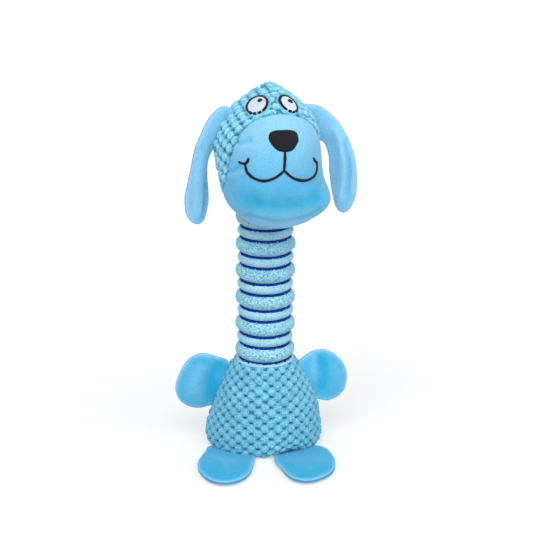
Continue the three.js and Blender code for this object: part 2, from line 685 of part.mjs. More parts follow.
// How full an oval is along its length, from 0 at its ends to 1 in its middle
const ovalShare = (u, power) => (1 - Math.abs(2 * u - 1) ** power) ** (1 / power);
const flapTaper = (u) => FLAP_END + (1 - FLAP_END) * ovalShare(u, FLAP_FULLNESS);
const hingeAcross = new THREE.Vector3(0, -1, 0); // turns a flap towards the side that it faces

function buildArm(name, sign) {
  const seat = torsoAt(ARM_HEIGHT);
  const above = torsoAt(ARM_HEIGHT + ARM_SEAM_SPAN);
  const slope = new THREE.Vector3(above.half - seat.half, 0, ARM_SEAM_SPAN).normalize();
  const outward = new THREE.Vector3(sign * slope.z, 0, -slope.x);
  const place = new THREE.Vector3(sign * seat.half, 0, ARM_HEIGHT);
  const group = flapGroup(`${name}_arm`, place, outward, new THREE.Vector3(0, -1, 0));
  group.rotateY(radians(ARM_SET_BACK[name]));

  const droop = radians(-sign * ARM_DROOP[name]);
  const direction = new THREE.Vector2(Math.cos(droop), Math.sin(droop));
  const shape = {
    middle: new THREE.LineCurve(
      direction.clone().multiplyScalar(-ARM_ROOT),
      direction.clone().multiplyScalar(ARM_LENGTH),
    ),
    width: ARM_WIDTH,
    half: (u) => (ARM_WIDTH / 2) * ovalShare(u, ARM_FULLNESS),
    rise: ARM_THICKNESS / 2,
    drop: ARM_THICKNESS / 2,
    taper: flapTaper,
  };
  const torso = seenFrom(group, grown(torsoForm, SEAM_GAP));
  const { upper, lower, wadding } = layers(shape, swept(torso, hingeAcross, ARM_SWING[name]));
  group.add(piece(`${name}_arm_front`, upper, SMOOTH_PLUSH));
  group.add(piece(`${name}_arm_back`, lower, SMOOTH_PLUSH));
  group.add(piece(`${name}_arm_wadding`, wadding, FIBRE));
  toy.add(group);
}

function buildFoot(name, sign) {
  const seat = torsoAt(FOOT_SEAM_HEIGHT);
  const y = -seat.drop * Math.sqrt(1 - (FOOT_SPREAD / seat.half) ** 2);
  const splay = radians(FOOT_SPLAY);
  const outward = new THREE.Vector3(sign * Math.sin(splay), -Math.cos(splay), 0);
  const seamHeight = FOOT_SEAM_HEIGHT - FOOT_SOLE_FLAT;
  const place = new THREE.Vector3(sign * FOOT_SPREAD, y, seamHeight);
  const group = flapGroup(`${name}_foot`, place, outward, along);

  const shape = {
    middle: new THREE.LineCurve(new THREE.Vector2(-FOOT_ROOT, 0), new THREE.Vector2(FOOT_LENGTH, 0)),
    width: FOOT_WIDTH,
    half: (u) => (FOOT_WIDTH / 2) * ovalShare(u, FOOT_FULLNESS),
    rise: FOOT_THICKNESS - FOOT_SEAM_HEIGHT,
    drop: FOOT_SEAM_HEIGHT,
    taper: flapTaper,
  };
  const torso = seenFrom(group, grown(torsoForm, SEAM_GAP));
  const floor = everythingBelow(-seamHeight);
  const { upper, lower, wadding } = layers(shape, swept(torso, hingeAcross, [0, FOOT_FOLD]).add(floor));
  group.add(piece(`${name}_foot_top`, upper, SMOOTH_PLUSH));
  group.add(piece(`${name}_foot_sole`, lower, SMOOTH_PLUSH));
  group.add(piece(`${name}_foot_wadding`, wadding, FIBRE));
  toy.add(group);
}

function buildEar(name, sign) {
  const seat = headAt(EAR_HEIGHT);
  const turn = radians(EAR_TURN);
  const outward = new THREE.Vector3(sign * Math.cos(turn), -Math.sin(turn), 0);
  const face = new THREE.Vector3().crossVectors(outward, along);
  const place = new THREE.Vector3(seat.centre.x + sign * seat.half, seat.centre.y, EAR_HEIGHT);
  const group = flapGroup(`${name}_ear`, place, outward, face);
  group.rotateZ(radians(EAR_LIFT[name]));

  const rounded = (u) => Math.sqrt(1 - Math.max(0, (u - 1 + EAR_TIP) / EAR_TIP) ** 2);
  const shape = {
    middle: new THREE.SplineCurve(
      EAR_OUTWARD.map((out, i) => new THREE.Vector2(out, -EAR_DOWN[i] * EAR_LENGTH)),
    ),
    width: EAR_WIDTH,
    half: (u) => (EAR_WIDTH / 2) * smooth(EAR_SWELL, u) * rounded(u),
    rise: EAR_THICKNESS / 2,
    drop: EAR_THICKNESS / 2,
    taper: flapTaper,
  };
  const taken = swept(seenFrom(group, grown(headForm, SEAM_GAP)), along, EAR_FLOP);
  const ear = solid(flapForm(shape)).subtract(taken);
  const [front, back] = sign > 0 ? [overSeam, underSeam] : [underSeam, overSeam];
  group.add(piece(`${name}_ear_front`, ear.intersect(front), SMOOTH_PLUSH));
  group.add(piece(`${name}_ear_back`, ear.intersect(back), SMOOTH_PLUSH));
  head.add(group);
}

buildTorso();
buildSqueaker();
buildNeck();
buildHead();
buildEyes();
buildNoseAndMouth();
for (const [name, sign] of SIDES) {
  buildArm(name, sign);
  buildFoot(name, sign);
  buildEar(name, sign);
}

export default toy;
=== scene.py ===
"""A stuffed squeaky dog toy, dressed over its frame: plush, embroidery, light and camera.

Sizes are in millimetres and degrees. Left and right are the toy's own: its left side is +X."""
import json
import math

import bmesh
import bpy
import numpy as np
from mathutils import Matrix, Vector, noise
from mathutils.bvhtree import BVHTree
from mathutils.geometry import delaunay_2d_cdt


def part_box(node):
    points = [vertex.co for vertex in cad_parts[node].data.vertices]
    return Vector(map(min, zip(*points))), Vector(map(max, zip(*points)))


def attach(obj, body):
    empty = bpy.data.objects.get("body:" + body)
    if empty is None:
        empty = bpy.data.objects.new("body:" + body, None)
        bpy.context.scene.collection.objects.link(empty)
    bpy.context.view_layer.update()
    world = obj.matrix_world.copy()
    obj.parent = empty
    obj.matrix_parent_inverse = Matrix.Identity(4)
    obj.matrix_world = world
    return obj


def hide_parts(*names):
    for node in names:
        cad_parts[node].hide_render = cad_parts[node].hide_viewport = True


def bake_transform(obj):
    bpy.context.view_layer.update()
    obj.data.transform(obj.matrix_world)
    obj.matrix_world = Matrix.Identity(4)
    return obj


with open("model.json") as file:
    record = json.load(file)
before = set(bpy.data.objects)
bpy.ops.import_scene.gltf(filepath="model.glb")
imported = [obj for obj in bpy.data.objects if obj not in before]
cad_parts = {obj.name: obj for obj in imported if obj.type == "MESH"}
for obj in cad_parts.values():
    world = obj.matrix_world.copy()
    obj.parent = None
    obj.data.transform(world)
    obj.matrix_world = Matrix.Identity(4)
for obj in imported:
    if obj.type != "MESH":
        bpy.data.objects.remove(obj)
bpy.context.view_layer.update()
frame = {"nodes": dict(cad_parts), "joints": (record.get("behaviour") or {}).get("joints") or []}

MM = 0.001
SIDES = ("left", "right")

# Torso, a rounded cone with a flat base. Its lists run from the base up to the rim
TORSO_HEIGHT = 75
TORSO_WIDTH = 94
TORSO_DEPTH = 82
TORSO_RIM_RADIUS = 20.5
TORSO_RISE = (0, 0.02, 0.075, 0.17, 0.32, 0.52, 0.74, 0.91, 0.97, 1)
TORSO_SWELL = (0.68, 0.86, 0.98, 1, 0.92, 0.765, 0.52, 0.27, 0.11, 0)
TORSO_SWAY = (-1.3, -1.3, -1.3, -1.2, -0.5, 0.8, 0.4, 0, 0, 0)
TORSO_COLUMNS = 420
TORSO_ROWS = 150
BASE_ROWS = 40
BASE_CLEAR = 0.1
SIDE_SEAM_WIDTH = 2.6
RIM_REACH = 3

# How its cloth tucks in under the neck: shares of the rim's radius, and heights over the rim
TUCKS = ((0.9, 0.6), (0.1, -1))

# Its lower edge lifts over the left foot: the middle and half of that span, the rise and its reach up
EDGE_LIFT_ANGLE = 300
EDGE_LIFT_SPAN = 20
EDGE_LIFT = 5
EDGE_LIFT_REACH = 15

# Dotted plush: a diamond lattice of puffs with a hole between four of them
DOT_PITCH = 10.5
DOT_ROW = 4.4
DOT_RADIUS = 4.1
DOT_HEIGHT = 3.2
DOT_INSET = 1.9
DOT_RAGGED = 0.45
FUZZ_HEIGHT = 0.3
SEAM_PUFF = 0.25
SEAM_SINK = 0.7

# Painted shade and light on the dotted plush: how pale it is in a hole, where shade is painted, and on
# a puff, where light is painted
TORSO_PAINTED_PUFF_SHADE = (0.26, 0.96)
HEAD_PAINTED_PUFF_SHADE = (0.14, 1)

# Painted light and shade on each piece, from 0 deep in colour to 1 pale, partly the pile's lay
# The torso is deep in painted shade and the head pale in painted light
TORSO_PAINTED_LIGHT = 0
HEAD_PAINTED_LIGHT = 1
# The muzzle from the chin up: painted floor light at the chin, painted shade under the mouth, painted
# light on top
MUZZLE_PAINTED_LIGHT = (0.9, 0.74, 0.4, 0.3, 0.42, 0.58, 0.74, 0.88, 0.97, 1)
# Arms, feet and ears: the feet deepest in painted shade, the ears palest in painted light
ARM_PAINTED_LIGHT = 0.24
FOOT_PAINTED_LIGHT = -0.05
EAR_PAINTED_LIGHT = 0.78
# Painted shade in the valleys of soft folds and painted highlights on their ridges
FOLD_PAINTED_SHADE = 0.2
# A painted sheen along the rolled edges of arms, feet and ears
EDGE_PAINTED_SHEEN = 0.8

# Neck, wide and narrow ribs with a dark line in each groove
RIB_PAIRS = 6
WIDE_RIB_HEIGHT = 13.25
NARROW_RIB_HEIGHT = 9.1
WIDE_RIB_RADIUS = 24
NARROW_RIB_RADIUS = 22.5
GROOVE_RADIUS = 17.8
RIB_FULLNESS = 2.4
RIB_ROUNDNESS = 0.9
HEM_HEIGHT = 3.6
HEM_RADIUS = 23.5
HEM_LINE = 0.55
HEM_CURLS = 0.3
WIDE_RIB_CURLS = 1
NARROW_RIB_CURLS = 0.5
CURL_HEIGHT = 0.4
SLEEVE_SAG = 0.35
NECK_LEAN = 1
LINE_BELOW = 1.3
LINE_ABOVE = 0.35
LINE_RAGGED = 0.35
SLEEVE_LOW = TORSO_HEIGHT + 0.3
SLEEVE_BORE_RADIUS = 16
SLEEVE_COLUMNS = 220
RIB_ROWS = 25

# The sleeve's two lengths: how many rings the lower one has
LOWER_RINGS = 4

# Head, in its own frame: z = 0 at its underside, on the neck's axis. Its lists run up to the crown
HEAD_HEIGHT = 101
HEAD_WIDTH = 85
HEAD_REACH = 68
HEAD_BACK = 39
HEAD_TURN = 14
HEAD_LEAN = 6
HEAD_RISE = (0, 0.03, 0.09, 0.19, 0.35, 0.52, 0.67, 0.79, 0.89, 0.96, 1)
HEAD_SIDE_LEFT = (0.14, 0.42, 0.78, 0.975, 0.9, 0.89, 0.84, 0.71, 0.47, 0.23, 0.05)
HEAD_SIDE_RIGHT = (0.14, 0.4, 0.69, 0.9, 0.98, 1.02, 0.97, 0.76, 0.44, 0.2, 0.05)
HEAD_MIDDLE = (-0.42, -0.48, -0.52, -0.5, -0.36, -0.17, -0.08, -0.02, 0.02, 0.05, 0.07)
HEAD_FRONT = (0.68, 0.81, 0.92, 0.985, 1, 0.985, 0.92, 0.79, 0.6, 0.37, 0.06)
HEAD_NAPE = (-0.5, 0.05, 0.55, 0.82, 0.95, 1, 0.98, 0.9, 0.75, 0.52, 0.2)
HEAD_CHEEK_LEFT = (2.2, 2.3, 2.5, 2.5, 1.9, 1.9, 2, 2.1, 2.2, 2.2, 2.2)
HEAD_CHEEK_RIGHT = 2.25
HEAD_NECKLINE = (2, 2, 2, 1.75, 1.7, 1.9, 2.1, 2.2, 2.2, 2.1, 2)
HEAD_COLUMNS = 400
HEAD_ROWS = 270
HEAD_SEAM_WIDTH = 2.4

# The head's dotted cloth: its turn, stretch and puffs, its back seams, and its pull under the panel
HEAD_GRAIN = 26
HEAD_STRETCH = 1.18
HEAD_DOT_RADIUS = 3.7
HEAD_BACK_TURNS = (35, 90, 145)
HIDDEN_PULL = 0.05

# Smooth face panel: how far forward it starts, from the chin up, and its edge as seen from the front
PANEL_BACK_LEFT = (6, 6, 10, 16, 24, 24, 12, 6, 6, 6, 6)
PANEL_BACK_RIGHT = (6, 9, 21, 32, 38, 30, 12, 6, 6, 6, 6)
PANEL_TOP = 87.5
PANEL_LOW = -60
PANEL_LEFT = ((45, 10), (44, 28), (40.5, 46), (35.5, 62), (29, 74), (20.5, 82), (11, 86))
PANEL_RIGHT = ((-41.2, 10), (-40.4, 28), (-38.4, 46), (-34.6, 61), (-29, 72), (-20.5, 80), (-11, 85))
PANEL_RISE = 1.3
PANEL_SINK = 3.4
PANEL_SINK_REACH = 2
HEAD_SINK_REACH = 2.5
PANEL_INSET = 0.6
PANEL_UNEVEN = 0.12
PANEL_ROLL = 3.2
PANEL_MARGIN = 4.5
PANEL_PLY = 1.4
PANEL_EDGE_PUFF = 0.35
PANEL_EDGE_SINK = 0.5
PANEL_EDGE_REACH = (0.5, 3.5)

# Its soft folds as seen from the front: each has its line, half its width and its depth
PANEL_FOLDS = (
    (((-27, 13), (-12, 9), (4, 8), (20, 11), (28, 15)), 2.2, 1.2),
    (((-26, 24), (-8, 21), (10, 21), (24, 24)), 8, 1.5),
    (((-24, 4), (0, 2), (20, 4)), 4, -1.2),
    (((-35, 66.5), (-30, 67.5), (-24, 70)), 1.7, 1.4),
    (((-34, 63), (-29, 63.5), (-24, 66)), 2.2, -0.8),
    (((-38, 44.5), (-35.5, 46.5), (-32, 50)), 1.5, 1),
    (((-38, 40.5), (-35, 42.5), (-31, 46)), 1.8, -0.7),
)

# Face embroidery, as seen from the front
EYE_PLACE = {"left": (10.2, 92), "right": (-11.2, 89.5)}
EYE_SLIDE = {"left": (0, 0.4), "right": (-0.8, 1.5)}
EYE_SIZE = {"left": (17.8, 14), "right": (20, 18.4)}
EYE_TILT = {"left": 76, "right": 100}
EYE_YAW = {"left": 20, "right": -20}
EYE_PITCH = 28
EYE_RIM = 2.1
EYE_RIM_END = 0.55
EYE_RIM_TOP = 0.15
EYE_RIM_OUTER = 0.45
EYE_PUFF = 0.75
PUPIL_RADIUS = 2
PUPIL_PLACE = {"left": (1.7, 1.4), "right": (2.2, 3.3)}
EYE_RIM_ARCS = ((-52, 218), (226, 248), (255, 273), (281, 301))
NOSE_OUTLINE = (
    (0.5, 77.4), (-5, 77.2), (-9.5, 75.6), (-11.2, 72), (-9.5, 67.5), (-5.5, 63.8),
    (-0.5, 62.8), (4.5, 63.3), (8.5, 66.5), (11, 70.5), (10, 75.4), (5.5, 77.2))
THREAD_WIDTH = 0.55
STITCH_ROOT = 1.2
STITCH_TURN = 2.4
STITCH_TAPER = 0.3
LINE_UNEVEN = 0.14
NOSE_UNEVEN = 0.02

# Lines of the mouth, each with its width
MOUTH_LINES = (
    (((-2, 49.5), (-6, 46), (-11, 43.2), (-16.5, 41.8), (-21.5, 42.6), (-25.5, 45),
      (-27.6, 48), (-28.2, 52.5)), 2.3),
    (((-2, 50), (0.5, 47), (5.5, 43), (12.5, 40.3), (19, 39.8), (24.5, 41.3), (27, 45), (27, 50)), 2.3),
    (((-32, 53.5), (-29, 53), (-27, 54.5), (-25.8, 57.5)), 1.955),
    (((23.5, 55), (25, 52), (28, 49.5)), 1.725),
    (((-0.5, 64), (-1, 57), (-2, 49.5)), 2.3),
)
MOUTH_POINTS = 60
MOUTH_END = 0.45
MOUTH_WAVE = 0.08
MOUTH_WAVE_TURN = 19

# How low and how high each piece of embroidery stands off the head
WHITE_LIFT = (1.3, 2)
PUPIL_LIFT = (1.9, 2.6)
RIM_LIFT = (1.2, 2.2)
NOSE_LIFT = (0.8, 2.5)
MOUTH_LIFT = (0.5, 1.65)

# Arms, feet and ears: two plies sewn round their edge, each ply a lattice of even triangles
FLAP_STEP = 2.4
FLAP_ROW = 0.866
FLAP_POINTS = 96
SEAM_HALF = 0.8
SEAM_DEPTH = 0.9
# How far in from the edge the painted sheen reaches
EDGE_SHEEN_WIDTH = 2.2
SEAM_FOLD = 0.4
SEAM_FOLD_REACH = 4

# Arms, seen from the front: half the thickness before stuffing, how far it swells, how far in the edge
# rolls, where it bends from the joint, and the outline and folds from there outwards
ARM_HALF = 3
ARM_SWELL = 2.5
ARM_ROLL = 15
ARM_SET_BACK = {"left": 26, "right": 0}
ARM_OUTLINE = {
    "left": (
        (-9, 0), (-6, 13), (3, 20), (16, 21), (24, 18.5), (30, 14), (34.5, 6), (37, -3), (36, -11),
        (32.5, -18), (27, -23.5), (20, -25.5), (10, -24), (2, -18), (-6, -12)),
    "right": (
        (-9, 0), (-6, -12), (4.5, -19), (15, -19), (25.5, -17), (32, -12), (35.5, -5), (37, 4),
        (36.5, 13), (34.5, 21), (29.5, 27.5), (23, 31), (15.5, 31.3), (8, 28.5), (1, 22.5), (-6, 14)),
}
ARM_FOLDS = {
    "left": (
        (((20, 10), (18, 2), (13, -5), (9, -10)), 5, 1.5),
        (((15, 16), (9, 7), (7, 0)), 3.5, -1)),
    "right": (
        (((6, -18), (10, -10), (12, -3), (9, 4), (5, 12)), 6.5, 1.4),
        (((32, -6), (27, -9), (21, -10)), 2.5, 0.7),
        (((20, -4), (23, 6), (20, 16)), 6, -1)),
}

# Feet, the same seen from above, and how they thin out and drop towards the root
FOOT_HALF = 2.5
FOOT_SWELL = 1.5
FOOT_ROLL = 5
FOOT_EDGE = 1.4
FOOT_ROOT = 0.45
FOOT_DROP = 1
FOOT_CLEAR = 0.8
FOOT_RISE = (4, 36)
FOOT_OUTLINE = {
    "left": (
        (-14, 0), (-10, -18), (0, -22), (10, -23), (20, -22.5), (33, -19), (46, -15), (54, -10),
        (58, -3), (57.5, 5), (53, 12.5), (46.5, 19), (38, 23.5), (26, 26), (13, 26.5), (3, 25),
        (-7, 21.5), (-13, 14)),
    "right": (
        (-14, 0), (-12, -17), (0.5, -20.5), (14, -23), (27, -23.5), (38, -21.5), (49, -16.5),
        (57, -10.5), (61, -3.5), (61, 5), (56.5, 12.5), (49, 18), (39, 21), (27, 22), (13, 22.5),
        (0, 21.5), (-11, 16)),
}
FOOT_FOLDS = {
    "left": ((((20, -16), (36, -4), (46, 8)), 4, -0.5),),
    "right": ((((16, -14), (30, -2), (50, 4)), 3, -0.7), (((14, 4), (28, 10), (42, 12)), 3, 0.6)),
}

# Ears, the same seen from the front
EAR_HALF = 1.95
EAR_SWELL = 2
EAR_ROLL = 7
EAR_HELD = 2
EAR_OUTLINE = {
    "left": (
        (-8, 5), (-2.5, 7), (8, 5), (19.5, -4.5), (26.5, -14), (31.5, -24), (35, -34), (37, -46),
        (37.5, -56), (36.5, -68), (32.5, -78), (26.5, -82), (20.5, -78.5), (17, -67), (14.5, -51),
        (13.5, -35), (9.5, -24), (2, -22), (-5, -12)),
    "right": (
        (-8, 4), (2, 9), (13.5, 1), (21, -11), (26, -22), (29.5, -36), (33, -50), (35.5, -60),
        (35, -72), (31.5, -79.5), (25.5, -83.5), (19, -81), (15.2, -71), (14, -60), (15.3, -43),
        (14.5, -32.5), (9.5, -23.5), (2, -22), (-5, -12)),
}
EAR_FOLDS = {
    "left": (
        (((19, -14), (25, -34), (25, -56), (22, -70)), 2.6, -2.4),
        (((26, -26), (30, -44), (29, -64)), 2.6, 1.6),
        (((32, -30), (34.5, -48), (33, -66)), 2.6, -1.6)),
    "right": (
        (((16, -46), (16.5, -62), (19, -76)), 2.2, -2.4),
        (((20, -50), (20.5, -64), (22, -76)), 2.0, 1.4),
        (((24, -24), (27, -48), (28, -70)), 4, -1.4),
        (((6, -10), (14, -28), (20, -48)), 7, 0.8)),
}

# Stuffing by cloth simulation, at ten times the size
SIM_SCALE = 10
SIM_FRAMES = 20
SIM_PRESSURE = 4

# Camera, fitted to the photograph
CAMERA_PLACE = (0, -1250, 548)
CAMERA_TARGET = (4.2, 0, 148.24)
CAMERA_LENS = 108.76
CAMERA_SENSOR = 36

# Each lamp: where it shines from, its spread in degrees and its power
LAMPS = {
    "key": ((-0.35, -1.0, 1.1), 45, 1.6),
    "fill": ((0.8, -0.8, 0.8), 60, 1.1),
}
FLOOR_REACH = 4000


def smooth(values, t):
    """A smooth value through evenly spread given values, with t from 0 to 1."""
    values = np.asarray(values, float)
    last = len(values) - 1
    place = np.clip(np.asarray(t, float), 0, 1) * last
    k = np.minimum(place.astype(int), last - 1)
    s = place - k
    before = values[np.maximum(k - 1, 0)]
    low = values[k]
    high = values[k + 1]
    after = values[np.minimum(k + 2, last)]
    if values.ndim > 1:
        s = s[..., None]
    lead = (high - before) / 2
    trail = (after - low) / 2
    cubic = 2 * low - 2 * high + lead + trail
    square = -3 * low + 3 * high - 2 * lead - trail
    return ((cubic * s + square) * s + lead) * s + low


def fade(low, high, value):
    """From 0 at low to 1 at high, eased at both ends."""
    share = np.clip((value - low) / (high - low), 0, 1)
    return share * share * (3 - 2 * share)


def from_least(least, share):
    """From a least value at share 0 to 1 at share 1."""
    return least + (1 - least) * share


def fuller(share, power):
    """A sine or cosine made squarer by a power over 2."""
    return np.sign(share) * np.abs(share) ** (2 / power)


def run_along(points):
    """How far along a line of points each of them lies."""
    steps = np.linalg.norm(np.diff(points, axis=0), axis=1)
    return np.concatenate([[0], np.cumsum(steps)])


def even_shares(surface_line, count):
    """Shares from 0 to 1 that lie evenly along a line of points."""
    dense = np.linspace(0, 1, 1500)
    run = run_along(surface_line(dense))
    return np.interp(np.linspace(0, run[-1], count), run, dense)


def round_angles(count):
    """Angles of even columns round a closed form."""
    return 2 * math.pi * np.arange(count) / count


def grid_normals(grid):
    """Outward normals of a grid of closed rings that climb."""
    across = np.roll(grid, -1, axis=1) - np.roll(grid, 1, axis=1)
    climb = np.gradient(grid, axis=0)
    normal = np.cross(across, climb)
    return normal / np.maximum(np.linalg.norm(normal, axis=2, keepdims=True), 1e-9)


def ring_faces(rows, columns, hollow=False):
    """Quads between closed rings, and in a hollow form from the last ring back to the first."""
    row = np.arange(rows if hollow else rows - 1)[:, None] * columns
    above = (row + columns) % (rows * columns)
    column = np.arange(columns)[None, :]
    following = (column + 1) % columns
    corners = (row + column, row + following, above + following, above + column)
    return np.stack(corners, -1).reshape(-1, 4).tolist()


def closed_grid(grid):
    """Points and faces of a grid of rings, closed by a fan at both ends."""
    rows, columns = grid.shape[:2]
    points = np.concatenate([grid.reshape(-1, 3), [grid[0].mean(0)], [grid[-1].mean(0)]])
    faces = ring_faces(rows, columns)
    first = rows * columns
    top = (rows - 1) * columns
    for j in range(columns):
        following = (j + 1) % columns
        faces.append((first, following, j))
        faces.append((first + 1, top + j, top + following))
    return points, faces


def wobble(points, size, seed=0.0):
    """Smooth noise at each point, about -1 to 1, with bumps of the given size."""
    shift = Vector((seed, 2 * seed, 3 * seed))
    values = [noise.noise(Vector(point) / size + shift) for point in points.reshape(-1, 3)]
    return np.array(values).reshape(points.shape[:-1])


def linked(name, data):
    """A new object in the scene."""
    item = bpy.data.objects.new(name, data)
    bpy.context.scene.collection.objects.link(item)
    return item


def mark(piece, name, values):
    """Keeps a number or a place for each point of a piece, for its material to read."""
    values = np.asarray(values, np.float32)
    if values.ndim == 1:
        attribute = piece.data.attributes.new(name, "FLOAT", "POINT")
        attribute.data.foreach_set("value", values)
    else:
        attribute = piece.data.attributes.new(name, "FLOAT_VECTOR", "POINT")
        attribute.data.foreach_set("vector", values.ravel())


def new_piece(name, points, faces, *materials):
    """A smooth-shaded mesh piece from points in millimetres."""
    mesh = bpy.data.meshes.new(name)
    mesh.from_pydata((np.asarray(points) * MM).tolist(), [], faces)
    mesh.polygons.foreach_set("use_smooth", [True] * len(mesh.polygons))
    for material in materials:
        mesh.materials.append(material)
    piece = linked(name, mesh)
    mark(piece, "rest", np.asarray(points))
    return piece


def apply_modifiers(piece):
    """Makes the result of a piece's modifiers its mesh."""
    graph = bpy.context.evaluated_depsgraph_get()
    mesh = bpy.data.meshes.new_from_object(piece.evaluated_get(graph))
    piece.modifiers.clear()
    piece.data = mesh


def unrolled(points):
    """A first flat place for each point of a panel: its runs along the rows and up the middle."""
    middle = points.shape[1] // 2
    run = np.stack([run_along(row) for row in points])
    height = np.repeat(run_along(points[:, middle])[:, None], points.shape[1], 1)
    return np.stack([run - run[:, middle:middle + 1], height], -1)


def spread(points):
    """A first flat place for each point of a cap: its run down from the top and round it."""
    front = points.shape[1] // 2
    top = np.linalg.norm(points[-1] - points[-1].mean(0), axis=1)
    down = np.linalg.norm(np.diff(points, axis=0), axis=2)[::-1]
    reach = top + np.concatenate([0 * top[None], np.cumsum(down, axis=0)])[::-1]
    run = np.stack([run_along(row) for row in points])
    turn = np.clip((run - run[:, front:front + 1]) / reach, -math.pi, math.pi)
    return reach[..., None] * np.stack([np.sin(turn), -np.cos(turn)], -1)


def lay_flat(points, flat, weights, passes=3000):
    """Lays a curved panel of cloth out flat, as a cutting pattern, by relaxing springs."""
    low, high, whole = slice(None, -1), slice(1, None), slice(None)
    springs = []
    for a, b in (
        ((whole, low), (whole, high)),
        ((low, whole), (high, whole)),
        ((low, low), (high, high)),
        ((low, high), (high, low)),
    ):
        length = np.linalg.norm(points[a] - points[b], axis=2)
        springs.append((a, b, length, np.minimum(weights[a], weights[b])))
    speed = np.zeros_like(flat)
    for _ in range(passes):
        move = np.zeros_like(flat)
        count = np.full(flat.shape[:2], 1e-6)
        for a, b, length, weight in springs:
            gap = flat[b] - flat[a]
            now = np.maximum(np.linalg.norm(gap, axis=2), 1e-6)
            pull = (weight * 0.5 * (1 - length / now))[..., None] * gap
            move[a] += pull
            move[b] -= pull
            count[a] += weight
            count[b] += weight
        speed = 0.9 * speed + move / count[..., None]
        flat += speed
    return flat


def resample(values, row_shares, column_shares):
    """A coarse even grid of values read at finer shares of its rows and columns."""
    rows, columns = values.shape[:2]
    r = np.clip(row_shares, 0, 1) * (rows - 1)
    c = np.clip(column_shares, 0, 1) * (columns - 1)
    i = np.minimum(r.astype(int), rows - 2)
    j = np.minimum(c.astype(int), columns - 2)
    r = (r - i)[:, None, None]
    c = (c - j)[None, :, None]
    i = i[:, None]
    j = j[None, :]
    lower = values[i, j] * (1 - c) + values[i, j + 1] * c
    upper = values[i + 1, j] * (1 - c) + values[i + 1, j + 1] * c
    return lower * (1 - r) + upper * r


def dots(flat, radius=DOT_RADIUS):
    """How high the puffs stand at each place of the flat cloth, from 0 in a hole to 1 on a puff."""
    pitch = np.array([DOT_PITCH, 2 * DOT_ROW])
    nearest = np.full(flat.shape[:-1], np.inf)
    for shift in (0, 0.5):
        cell = flat / pitch - shift
        gap = (cell - np.round(cell)) * pitch
        nearest = np.minimum(nearest, np.linalg.norm(gap, axis=-1))
    spots = np.concatenate([flat, np.zeros((*flat.shape[:-1], 1))], -1)
    nearest += DOT_RAGGED * (wobble(spots, 3.1) + 0.6 * wobble(spots, 1.3, 2))
    return np.clip(1 - np.maximum(nearest / radius, 0) ** 2.5, 0, None) ** 0.5


def fuzz(points):
    """The uneven ends of the pile at each point."""
    return FUZZ_HEIGHT * (wobble(points, 1.7) + 0.7 * wobble(points, 0.9, 4))


def rows_at(rows, shares):
    """The places of the rows at even shares of their number."""
    return np.interp(shares, np.linspace(0, 1, len(rows)), rows)


def in_panels(flat, surface, rows, angles, turns):
    """Sets the flat cloth places of a grid over a closed form, as panels sewn at the given turns."""
    for start, end in zip(np.radians(turns[:-1]), np.radians(turns[1:])):
        coarse = np.linspace(start, end, 1 + round(12 * (end - start)))
        points = surface(rows_at(rows, np.linspace(0, 1, 27))[:, None], coarse[None, :])
        pattern = lay_flat(points, unrolled(points), np.ones(points.shape[:2]))
        mine = (angles >= start) & (angles < end)
        shares = (angles[mine] - start) / (end - start)
        flat[:, mine] = resample(pattern, np.linspace(0, 1, len(rows)), shares)
    return flat


def one_cap(surface, rows, angles, weight_of):
    """Flat cloth places of a grid over a closed form, as one cap with a seam down the back."""
    coarse = math.pi / 2 + np.linspace(0, 2 * math.pi, 73)
    points = surface(rows_at(rows, np.linspace(0, 1, 31))[:, None], coarse[None, :])
    pattern = lay_flat(points, spread(points), weight_of(points))
    shares = (angles - math.pi / 2) % (2 * math.pi) / (2 * math.pi)
    return resample(pattern, np.linspace(0, 1, len(rows)), shares)


def placed(matrix, points):
    """Points moved by a matrix."""
    turn = np.array(matrix)
    return points @ turn[:3, :3].T + turn[:3, 3]


def inside_outline(outline, x, z):
    """Whether places lie inside a closed outline, by counting crossings."""
    inside = np.zeros(x.shape, bool)
    for (x0, z0), (x1, z1) in zip(outline, np.roll(outline, -1, axis=0)):
        if z0 == z1:
            continue
        crossing = (z0 > z) != (z1 > z)
        inside ^= crossing & (x < x0 + (x1 - x0) * (z - z0) / (z1 - z0))
    return inside


def closed_curve(places, count):
    """A smooth outline through given places, counter-clockwise, with evenly spread points."""
    wrapped = np.array([*places[-2:], *places, *places[:3]], float)
    span = np.linspace(2, 2 + len(places), 1200) / (len(wrapped) - 1)
    dense = smooth(wrapped, span)
    run = run_along(dense)
    even = np.linspace(0, run[-1], count, endpoint=False)
    curve = np.stack([np.interp(even, run, dense[:, axis]) for axis in (0, 1)], -1)
    following = np.roll(curve, -1, axis=0)
    turning = np.sum(curve[:, 0] * following[:, 1] - curve[:, 1] * following[:, 0])
    return curve if turning > 0 else curve[::-1]


def nearest_on(line, places):
    """For each place, the nearest place on a line of points."""
    line = np.array(line, float)
    best = np.zeros_like(places)
    gap = np.full(len(places), np.inf)
    for start, end in zip(line[:-1], line[1:]):
        along = end - start
        share = np.clip((places - start) @ along / (along @ along), 0, 1)
        spot = start + share[:, None] * along
        far = np.linalg.norm(places - spot, axis=1)
        nearer = far < gap
        best[nearer] = spot[nearer]
        gap[nearer] = far[nearer]
    return best


def fold_depth(folds, places):
    """How deep the soft folds are at each place: each has its line, half its width and its depth."""
    depth = np.zeros(len(places))
    for line, width, most in folds:
        gap = places - nearest_on(smooth(line, np.linspace(0, 1, 24)), places)
        depth += most * np.exp(-np.sum(gap * gap, axis=1) / width ** 2)
    return depth


# Colours and materials

def linear(colour):
    """A colour written as red, green and blue from 0 to 255, as the shader takes it."""
    shares = np.array(colour) / 255
    light = np.where(shares <= 0.04045, shares / 12.92, ((shares + 0.055) / 1.055) ** 2.4)
    return (*light, 1)


